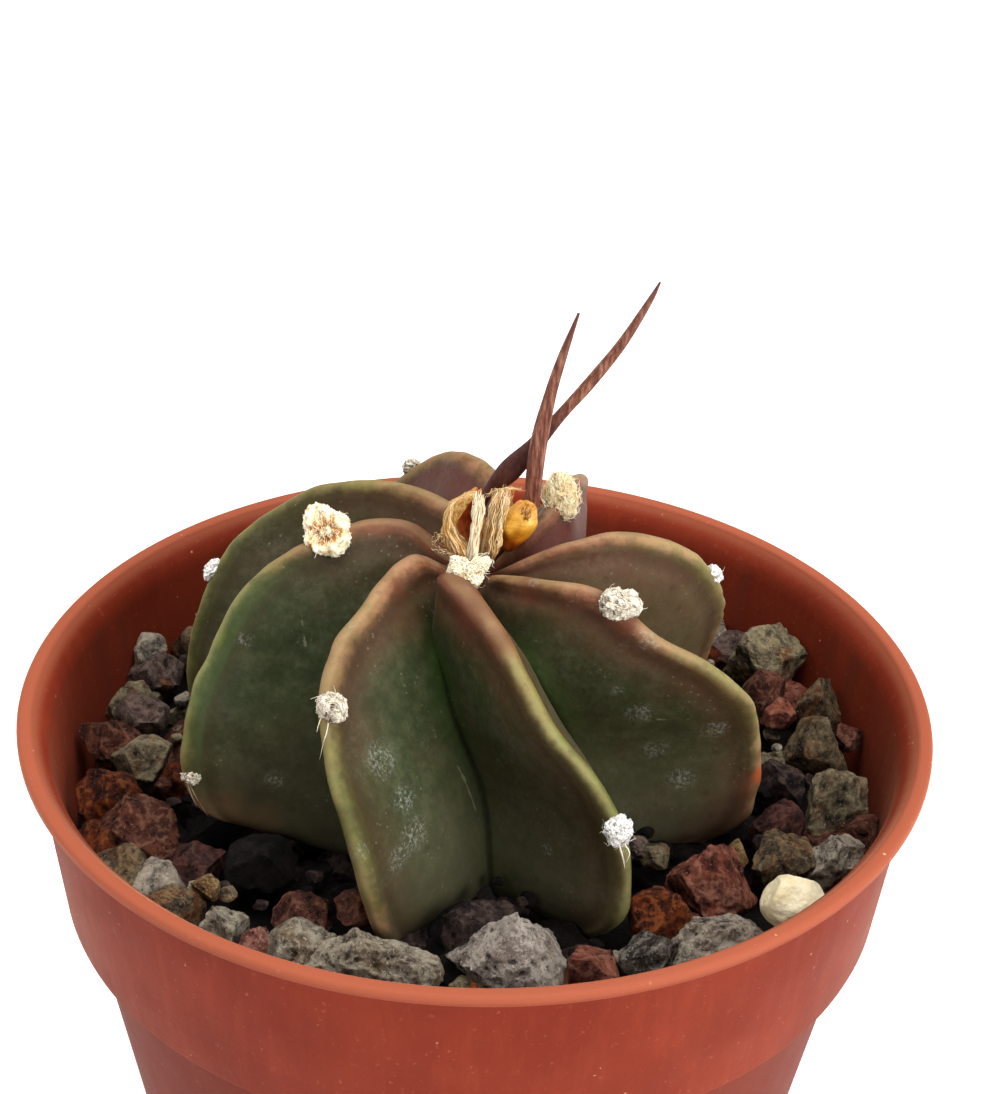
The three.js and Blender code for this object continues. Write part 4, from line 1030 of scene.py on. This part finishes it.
def rib_points(name, t, before, after):
    """A rib's outline at a station, from one groove over the crest to the next: places and their layers."""
    crest, root = crest_point(name, t), (before + after) / 2
    full = (crest - root).length
    bend = min(CREST_DEPTH, 0.5 * full)
    depths = [share * bend for share in CREST_SHARES]
    depths += [bend + (full - bend) * (step / FLANK_STEPS) ** FLANK_SPREAD for step in range(1, FLANK_STEPS)]
    depths += [full * GROOVE_EDGE, full]
    swell = value_at(CREST_SWELL.get(name, (1.0, 1.0)), t)
    leans = CREST_LEANS.get(name, 0.0)
    tint, verge, pale = (value_at(table[name], t / 2) for table in (CREST_TINTS, VERGES, PALE_CRESTS))
    purple, tan = RIB_PURPLE.get(name, 0.0), RIB_TAN.get(name, 0.0)

    def point(place, depth, groove, off_middle):
        lean = abs(leans) * smooth(-0.3, 0.8, math.copysign(1.0, leans) * off_middle)
        return place, depth, t, groove, tint, purple, tan, verge, pale, lean

    def flank(groove, side):
        aside = (groove - root).normalized()
        reach = (groove - root).length
        points = []
        for depth in depths:
            share = depth / full
            width = half_thickness(depth, full, reach, swell)
            place = crest.lerp(root, min(share, 1)) + aside * width
            near_groove = smooth(0.72, 1.0, share) * smooth(2, 4, t)
            points.append(point(place, depth, near_groove, side * width / (swell * CREST_WIDTH / 2)))
        return points

    return [*flank(before, 1)[-2::-1], point(crest, 0.0, 0.0, 0.0), *flank(after, -1)]


def body_rings():
    """Rings of points round the body from the apex to the root's tip, with each point's layers."""
    rings = []
    for k in range((len(GROOVE) - 1) * STATION_STEPS + 1):
        t = k / STATION_STEPS
        grooves = [groove_point(i, t) for i in range(len(RIBS))]
        rings.append([point for i, name in enumerate(RIB_NAMES)
                      for point in rib_points(name, t, grooves[i - 1], grooves[i])])
    return rings


def marked(place, marks):
    """1 in the middle of a mark, 0 away from them all."""
    found = 0.0
    for x, y, z, spread in marks:
        away = (place - Vector((x, y, RIM_Z + z))).length
        found = max(found, smooth(spread, 0.0, away))
    return found


BODY_LAYERS = ("below_crest", "near_groove", "tint", "tan", "verge", "pale", "lean",
               "chalk", "flush", "ember", "purple")


def cactus_body():
    apex, root_tip = placed(0, 0, APEX_Z), placed(0, 0, ROOT_TIP_Z)
    rings = body_rings()
    size = len(rings[0])
    rings = [[(apex, 1.0, 0.0, 0.0, 0.9, 0.0, 0.0, 0.9, 0.0, 0.0)] * size, *rings,
             [(root_tip, 1.0, 16.0, 0.0, 0.5, 0.0, 0.0, 0.0, 0.0, 0.0)] * size]

    def form(u, v):
        place, depth, run, groove, tint, purple, tan, verge, pale, lean = rings[len(rings) - 1 - v][u % size]
        # Slow and fine swells of the skin, with more along the crests, and none by the apex or the root
        wave = noise.noise(place / 6.0) * 0.2 + noise.noise(place / 2.4) * 0.07
        wave += noise.noise(place / 1.9 + Vector((5, 1, 8))) * 0.2 * smooth(1.6, 0.3, depth)
        outward = (place - Vector((*AXIS, place.z))).normalized()
        moved = place + outward * wave * smooth(0.0, 3.0, run) * smooth(13.0, 11.0, run)
        tan = max(tan, marked(place, TANNED))
        purple = max(purple * smooth(9, 4, run), marked(place, PURPLE))
        marks = (marked(place, spots) for spots in (CHALK, FLUSH, EMBER))
        return moved, depth, groove, tint, tan, verge, pale, lean, *marks, purple

    body = welded(shaped_grid("cactus_flesh", size, len(rings) - 1, form, BODY_LAYERS))
    return dressed(rounded(body, 50), "cactus_flesh", waxy_flesh(), "cactus_body")


# Wool

def ring_round(place, side, up, radius, count):
    """Points on a circle round a place, in the plane of two directions."""
    turns = [math.tau * k / count for k in range(count)]
    return [place + (side * math.cos(turn) + up * math.sin(turn)) * radius for turn in turns]


def fibre_mesh(name, fibres):
    """Fine fibres, each a three-sided tapered tube along a path, with its width and tint."""
    points, faces, tints = [], [], []
    for path, width, tint in fibres:
        last = len(path) - 1
        first = len(points)
        for i, place in enumerate(path):
            ahead = (path[min(i + 1, last)] - path[max(i - 1, 0)]).normalized()
            side = ahead.orthogonal().normalized()
            radius = width / 2 * (1 - 0.75 * (i / last) ** 2)
            points += [spot * MM for spot in ring_round(place, side, ahead.cross(side), radius, 3)]
        tints += [tint] * (len(points) - first)
        for corner in range(first, first + 3 * last):
            beside = corner - 2 if (corner - first) % 3 == 2 else corner + 1
            faces.append((corner, beside, beside + 3, corner + 3))
        faces.append((first + 2, first + 1, first))
        faces.append(tuple(range(len(points) - 3, len(points))))
    mesh = bpy.data.meshes.new(name)
    mesh.from_pydata(points, [], faces)
    piece = bpy.data.objects.new(name, mesh)
    bpy.context.scene.collection.objects.link(piece)
    keep_layer(piece, "tint", tints)
    mesh.shade_smooth()
    return piece


def tuft_frame(name, station, facing):
    """A tuft's seat on the crest, and its sideways, downward and outward directions."""
    seat = crest_point(name, station)
    if facing:
        azimuth, rise, aside, down = facing
        outward = heading(azimuth, rise)
        side = outward.cross(Vector((0, 0, 1))).normalized()
        below = outward.cross(side)
        return seat + side * aside + below * down, side, below, outward
    below = (crest_point(name, station + 0.3) - seat).normalized()
    index = RIB_NAMES.index(name)
    root = (groove_point(index, station) + groove_point(index - 1, station)) / 2
    outward = (seat - root).normalized()
    side = below.cross(outward).normalized()
    return seat, side, below, side.cross(below).normalized()


def bump_at(value, middle, spread):
    """1 at the middle and near 0 beyond the spread."""
    return math.exp(-((value - middle) / spread) ** 2)


def tuft_shape(shape, aside, down, out):
    """How far a tuft reaches in a direction, as a share of its box, and how much darker its wool is painted
    there: painted shade in a hollow, and a darker side on the lump.
    """
    from_top = math.degrees(math.acos(max(min(out, 1), -1)))
    if shape == "cup":
        moat = bump_at(from_top, 28, 10)
        square = 0.92 * (aside ** 4 + down ** 4 + out ** 4) ** -0.25
        corners = 0.24 * smooth(0.5, 0.95, aside * 0.7 - down * 0.7)
        corners -= 0.1 * smooth(0.4, 0.9, -aside * 0.7 - down * 0.7)
        edge = 0.08 * bump_at(from_top, 58, 14) - 0.16 * bump_at(from_top, 0, 15)
        return square - 0.4 * moat + edge + corners, moat
    if shape == "drop":
        corner = 0.2 * bump_at(aside, -0.7, 0.3) * smooth(0.1, 0.6, down)
        mouth = smooth(0.72, 0.95, down * 0.9 + aside * 0.35)
        return 0.92 + corner - 0.2 * smooth(0.2, 0.95, -down) - 0.24 * mouth, 1.6 * mouth
    if shape == "fan":
        lobes = 0.34 * bump_at(aside, 0.86, 0.35) + 0.4 * bump_at(aside, -0.8, 0.3) * smooth(0.5, -0.5, down)
        cleft = bump_at(aside, 0.0, 0.3) * smooth(-0.2, -0.8, down)
        return 0.72 + lobes + 0.24 * smooth(0.3, 0.9, down) - 0.25 * cleft, 0.5 * cleft
    if shape == "lump":
        lobe = 0.16 * bump_at(aside, -0.9, 0.35)
        waist = 0.16 * bump_at(aside, -0.3, 0.22) * smooth(0.5, -0.6, down)
        return 0.92 + lobe - waist - 0.14 * smooth(0.4, 0.9, aside), 0.35 * smooth(0.2, 0.9, aside)
    if shape == "fleece":
        return 0.96 + 0.12 * smooth(0.2, 0.9, -down), 0.0
    return 0.95, 0.0


def drawn_direction(draw, lift=0.0):
    return Vector((draw.gauss(0, 1), draw.gauss(0, 1), draw.gauss(0, 1) + lift))


def wool_tuft(number, name, station, width, height, thickness, shape, fibres, facing):
    """A matted core with fibres that lie on it, a few of which stand out."""
    draw = random.Random(WOOL_SEED + number)
    seat, side, below, outward = tuft_frame(name, station, facing)
    seat = seat + outward * thickness * 0.12
    half = Vector((width, height, thickness)) / 2
    turn = Matrix((side, below, outward)).transposed()
    shift = Vector((number * 7.3, number * 3.1, 0))
    grain = WOOL_GRAIN[shape]
    lengths = FIBRE_LENGTHS.get(shape, SHORT_FIBRES)
    strays = STRAY_SHARES.get(shape, FEW_STRAYS)

    def surface(direction, lift=0.0):
        reach, dark = tuft_shape(shape, *direction)
        base = sized(direction, half) * reach
        folds = noise.fractal(base / 0.55 + shift, 0.7, 2.2, 3)
        ridges = 0.25 - abs(noise.noise(base / 0.28 + shift * 2))
        # The wool is painted darker where it folds in and in its hollows, as painted shade.
        rise = folds + 1.3 * ridges
        return seat + turn @ (base * 0.94 + direction * (grain * rise + lift)), rise - 1.2 * dark

    core = added(bpy.ops.mesh.primitive_ico_sphere_add, subdivisions=5, radius=1)
    tints = []
    for vertex in core.data.vertices:
        place, rise = surface(vertex.co.normalized())
        vertex.co = place * MM
        tints.append(0.5 + 0.55 * rise)
    keep_layer(core, "tint", tints)
    core.data.shade_smooth()

    def fibre():
        spot = drawn_direction(draw, 0.5).normalized()
        way = spot.cross(drawn_direction(draw)).normalized()
        if shape == "cup":
            way = (way * 0.4 + Vector((0, 0, 1)).cross(spot) * draw.choice((-1, 1))).normalized()
        curl, length = draw.uniform(-2.6, 2.6), draw.uniform(*lengths)
        rise = draw.uniform(0.2, 0.6) if draw.random() < strays else 0.0
        base_lift = draw.uniform(-0.02, 0.06)
        step = length / FIBRE_STEPS / (sum(half) / 3)
        path = []
        for i in range(FIBRE_STEPS + 1):
            wave = 0.04 * math.sin(2.2 * i)
            path.append(surface(spot, base_lift + wave + rise * (i / FIBRE_STEPS) ** 1.6)[0])
            spot = (spot + way * step).normalized()
            way = Matrix.Rotation(curl / FIBRE_STEPS, 3, spot) @ way
            way = (way - spot * way.dot(spot)).normalized()
        tint = draw.uniform(0.2, 0.5) if draw.random() < 0.2 else draw.uniform(0.65, 1.0)
        return path, draw.uniform(0.04, 0.085), tint - 0.5 * tuft_shape(shape, *spot)[1]

    return joined("wool", [core, fibre_mesh("fuzz", [fibre() for _ in range(fibres)])])


def areoles():
    tufts = {name: [] for name in WOOL}
    for number, (name, station, width, height, thickness, wool, *rest) in enumerate(TUFTS):
        tufts[wool].append(wool_tuft(number, name, station, width, height, thickness, *rest))
    hanging = []
    for path, width, tint in LOOSE_FIBRES:
        points = in_frame(path)
        hanging.append(([Vector(along(points, i / 4)) for i in range(4 * len(path) - 3)], width, tint))
    tufts["grey"].append(fibre_mesh("hanging", hanging))
    for name, pieces in tufts.items():
        dressed(joined("areole_wool_" + name, pieces), "areole_wool", areole_wool(name))


# Spines

def horn_spine(name, path, widths, dark_part, node):
    """A faintly three-edged, tapering spine along its middle line, closed to a point at both ends."""
    points = in_frame(path)
    last = len(path) - 1
    steps = last * 12
    rows = steps + 2

    def form(u, v):
        share = min(max(v - 1, 0), steps) / steps
        t = share * last
        ahead = Vector(along(points, min(t + 0.05, last))) - Vector(along(points, max(t - 0.05, 0)))
        side = ahead.normalized().cross(Vector((0, 1, 0))).normalized()
        up = side.cross(ahead.normalized())
        angle = math.tau * (u % SPINE_SIDES) / SPINE_SIDES
        width = 0 if v in (0, rows) else value_at(widths, share * (len(widths) - 1)) / 2
        ridge = 1 + 0.09 * math.cos(3 * angle + 4 * share) + 0.06 * noise.noise(Vector((3 * share, angle, 7)))
        out = side * math.cos(angle) + up * math.sin(angle)
        return Vector(along(points, t)) + out * width * ridge, share

    spine = welded(shaped_grid(name, SPINE_SIDES, rows, form, ("run",)), 0.0005)
    return dressed(rounded(spine, 60), "horn", horn(name, dark_part), node)


# Dried flower and capsule

# The husk: its middle, its span upward and round, and its radius and lean from the bottom to the top
HUSK_X = -1.15
HUSK_Y = 1.5
HUSK_BOTTOM = 10.9
HUSK_TOP = 16.1
HUSK_FROM = 20
HUSK_TO = 240
HUSK_RADIUS = 1.55
HUSK_WALL = 0.16
HUSK_SWELL = (0.45, 0.82, 1.0, 1.0, 0.9, 0.62, 0.2)
HUSK_LEAN = (0.35, 0.05, -0.12, -0.1, 0.1, 0.45, 0.85)
# Withered strands: points as (x, y, height above the rim), widths, number of fibres, thickness and tints
STRANDS = (
    (((-0.9, -0.6, 10.9), (-0.6, -0.5, 12.4), (-0.4, -0.3, 14.0), (-0.3, 0.0, 15.4), (-0.2, 0.6, 16.6)),
     (0.8, 0.55, 0.6, 0.8, 0.6), 90, (0.06, 0.16), (0.7, 1.0)),
    (((0.45, 0.2, 11.2), (0.62, 0.0, 12.5), (0.88, 0.05, 14.2), (1.15, 0.3, 15.6), (1.5, 0.6, 16.9)),
     (0.9, 1.15, 1.3, 1.3, 1.3), 130, (0.06, 0.14), (0.15, 0.9)),
    (((0.9, 0.0, 12.2), (1.15, -0.3, 13.4), (1.3, -0.2, 14.8), (1.7, 0.2, 16.6)), (0.4, 0.5, 0.4, 0.5), 20,
     (0.08, 0.16), (0.5, 0.85)),
    (((2.9, 0.7, 14.2), (3.1, 0.8, 14.8), (3.3, 1.1, 15.6)), (0.7, 0.9, 1.2), 14, (0.05, 0.1), (0.05, 0.4)),
    (((0.1, 4.0, 14.2), (0.9, 3.4, 15.2), (1.9, 2.6, 15.8), (3.0, 2.4, 15.8)), (0.3, 0.3, 0.3, 0.2), 8,
     (0.05, 0.08), (0.3, 0.8)),
    (((-1.9, 1.0, 11.4), (-2.3, 0.2, 12.0), (-2.9, -0.1, 12.5)), (0.9, 1.2, 1.8), 14,
     (0.04, 0.07), (0.4, 0.9)),
    (((-2.2, 1.0, 12.6), (-2.8, 0.6, 13.2), (-3.1, 0.4, 12.6)), (0.8, 1.0, 1.2), 9,
     (0.04, 0.07), (0.4, 0.9)),
)
# The fibrous edge that rolls round the husk's opening, by the same measures
HUSK_EDGE = (
    ((-0.9, 0.0, 11.2), (-1.45, 0.1, 12.2), (-2.05, 0.3, 13.2), (-2.35, 0.5, 14.4), (-2.15, 0.7, 15.4),
     (-1.5, 0.8, 16.0), (-0.45, 0.9, 16.3)),
    (1.1, 1.5, 1.0, 0.5, 0.35, 0.28, 0.2), 420, (0.04, 0.1), (0.15, 0.75))
# The capsule: the ends of its middle line, and its radii at shares of the way between them
CAPSULE_ENDS = ((1.85, 1.5, 11.4), (2.95, 1.6, 15.3))
CAPSULE_PROFILE = ((0.02, 0), (0.36, 0.04), (0.62, 0.14), (0.98, 0.32), (1.26, 0.5), (1.3, 0.64), (1.12, 0.8),
                   (0.78, 0.91), (0.42, 0.98), (0.02, 0.97))


def papery_husk():
    """A rolled, ragged sheet with a wall of its own, open on one side."""
    around, upward = 56, 44
    size = 2 * (around + 1)

    def form(u, v):
        side = u % size
        inner = side > around
        turn = (size - 1 - side if inner else side) / around
        share = min(max((v - 1) / (upward - 2), 0), 1)
        angle = math.radians(HUSK_FROM + (HUSK_TO - HUSK_FROM) * turn)
        swell, lean = (value_at(row, share * (len(row) - 1)) for row in (HUSK_SWELL, HUSK_LEAN))
        crumple = noise.fractal(Vector((5 * turn, 3 * share, 2)), 0.7, 2.1, 4)
        pleats = 0.05 * math.sin(23 * turn + 3 * share)
        wall = HUSK_WALL / 2 if v in (0, upward) else HUSK_WALL * inner
        curl = 0.22 * bump_at(turn, 1.0, 0.08) + 0.16 * bump_at(turn, 0.0, 0.08)
        reach = HUSK_RADIUS * swell * (1 + 0.12 * crumple + pleats) - wall - curl
        ragged = 0.5 * noise.noise(Vector((9 * turn, 0, 5))) * share ** 2
        z = RIM_Z + HUSK_BOTTOM + (HUSK_TOP - HUSK_BOTTOM) * share + ragged
        return (HUSK_X + lean + reach * math.cos(angle), HUSK_Y + reach * math.sin(angle), z), float(inner)

    husk = welded(shaped_grid("papery_husk", size, upward, form, ("inside",)), 0.0005)
    return dressed(rounded(husk, 60), "dry_husk", dry_husk(), "dry_flower")


def bundle(draw, path, widths, count, thickness, tints):
    """Fibres that run along a path together, twisting and straying a little."""
    points = in_frame(path)
    steps = 10
    fibres = []
    for _ in range(count):
        angle, reach, twist = draw.uniform(0, math.tau), math.sqrt(draw.random()), draw.uniform(-1.5, 1.5)
        start, end = draw.uniform(0, 0.2), draw.uniform(0.8, 1.0)
        fibre = []
        for i in range(steps + 1):
            share = start + (end - start) * i / steps
            t = share * (len(points) - 1)
            turn = angle + twist * share
            aside = Vector((math.cos(turn), math.sin(turn), 0)) * value_at(widths, t) / 2 * reach
            stray = Vector([noise.noise(Vector((share * 6, angle, axis))) for axis in (1, 4, 9)])
            fibre.append(Vector(along(points, t)) + aside + stray * 0.26)
        fibres.append((fibre, draw.uniform(*thickness), draw.uniform(*tints)))
    return fibres


def withered_strands():
    draw = random.Random(STRAND_SEED)
    fibres = [fibre for strand in STRANDS for fibre in bundle(draw, *strand)]
    dressed(fibre_mesh("withered_strands", fibres), "dry_husk", dry_strand())
    edge = fibre_mesh("husk_edge", bundle(draw, *HUSK_EDGE))
    dressed(edge, "dry_husk", bpy.data.materials["dry_strand"])


def amber_capsule():
    around, upward = 48, 45
    foot, tip = in_frame(CAPSULE_ENDS)

    def form(u, v):
        angle = math.tau * (u % around) / around
        x, y = math.cos(angle), math.sin(angle)
        radius, share = along(CAPSULE_PROFILE, (len(CAPSULE_PROFILE) - 1) * v / upward)
        crown = smooth(0.82, 1.0, share)
        ribs = 0.09 * math.cos(3 * angle + 2) + 0.03 * math.cos(7 * angle + 6 * share)
        lumps = 0.14 * noise.noise(Vector((x, y, 3 * share)) * 1.4)
        radius = max(radius, 0.02) * (1 + ribs + 0.12 * crown * math.cos(5 * angle) + lumps)
        ragged = 0.3 * crown * noise.noise(Vector((2 * x, 2 * y, 9)))
        place = foot + (tip - foot) * share + Vector((radius * x, radius * y, ragged))
        return (place,)

    capsule = welded(shaped_grid("seed_capsule", around, upward, form), 0.0005)
    capsule.data.shade_smooth()
    return dressed(capsule, "amber_skin", amber_skin(), "amber_capsule")


# Stage

# The camera at the photograph's viewing angle: its place, and its angles in degrees
CAMERA_PLACE = (0.0, -135.759, RIM_Z + 92.671)
CAMERA_PITCH = -30.536
CAMERA_TURN = 0.540
CAMERA_ROLL = 2.087
LENS = 75.0
SENSOR = 36.0
# Area lights, which all face the cactus: name, place, side and power
PANELS = (
    ("top_panel", (0.08, 0.0, 0.75), 0.6, 7.0), ("right_panel", (0.5, -0.37, 0.3), 0.4, 5.2),
    ("front_panel", (-0.3, -0.55, 0.34), 0.4, 1.0), ("left_panel", (-0.55, 0.12, 0.42), 0.4, 2.1),
)
PANEL_AIM = (0, 0, 0.06)
# A little glow keeps the floor white in the pot's own soft shadow
FLOOR_GLOW = 0.3
# The world is brighter toward this side than opposite it
WORLD_BRIGHT_SIDE = (0.45, 0.9, 0)
WORLD_STRENGTHS = {"From Min": -0.9, "From Max": 0.5, "To Min": 0.75, "To Max": 1.0}


def camera():
    data = bpy.data.cameras.new("camera")
    data.lens = LENS
    data.sensor_width = SENSOR
    eye = bpy.data.objects.new("camera", data)
    eye.matrix_world = (Matrix.Translation(Vector(CAMERA_PLACE) * MM)
                        @ Matrix.Rotation(math.radians(-CAMERA_TURN), 4, "Z")
                        @ Matrix.Rotation(math.radians(90 + CAMERA_PITCH), 4, "X")
                        @ Matrix.Rotation(math.radians(CAMERA_ROLL), 4, "Z"))
    bpy.context.scene.collection.objects.link(eye)
    bpy.context.scene.camera = eye


def panel(name, place, side, power):
    data = bpy.data.lights.new(name, "AREA")
    data.size = side
    data.energy = power
    lamp = bpy.data.objects.new(name, data)
    facing = (Vector(PANEL_AIM) - Vector(place)).to_track_quat("-Z", "Y")
    lamp.matrix_world = Matrix.Translation(Vector(place)) @ facing.to_matrix().to_4x4()
    bpy.context.scene.collection.objects.link(lamp)


def white_floor():
    floor = added(bpy.ops.mesh.primitive_plane_add, size=6)
    floor.name = "floor"
    pale = Finish("pale_floor", 0.8, Specular_IOR_Level=0.2, Emission_Color=(255, 255, 255),
                  Emission_Strength=FLOOR_GLOW)
    pale.colour(pale.mix(pale.noise(400, 1), (0.9, 0.9, 0.9, 1), (0.92, 0.92, 0.92, 1)))
    floor.data.materials.append(pale.material)


def studio():
    white_floor()
    world = bpy.data.worlds.new("studio")
    world.use_nodes = True
    nodes, links = world.node_tree.nodes, world.node_tree.links
    toward = nodes.new("ShaderNodeVectorMath")
    toward.operation = "DOT_PRODUCT"
    toward.inputs[1].default_value = WORLD_BRIGHT_SIDE
    links.new(nodes.new("ShaderNodeTexCoord").outputs["Generated"], toward.inputs[0])
    strength = nodes.new("ShaderNodeMapRange")
    for socket, value in WORLD_STRENGTHS.items():
        strength.inputs[socket].default_value = value
    links.new(toward.outputs["Value"], strength.inputs["Value"])
    links.new(strength.outputs[0], nodes["Background"].inputs["Strength"])
    bpy.context.scene.world = world
    for row in PANELS:
        panel(*row)
    bpy.context.scene.view_settings.view_transform = "Standard"


camera()
studio()
flower_pot()
grit()
pumice_stone()
lip_crumbs()
cactus_body()
areoles()
horn_spine("horn_spine_to_the_front", *FRONT_SPINE, 0.08, "horn_spine_front")
horn_spine("horn_spine_to_the_back", *BACK_SPINE, 0.5, "horn_spine_back")
papery_husk()
withered_strands()
amber_capsule()
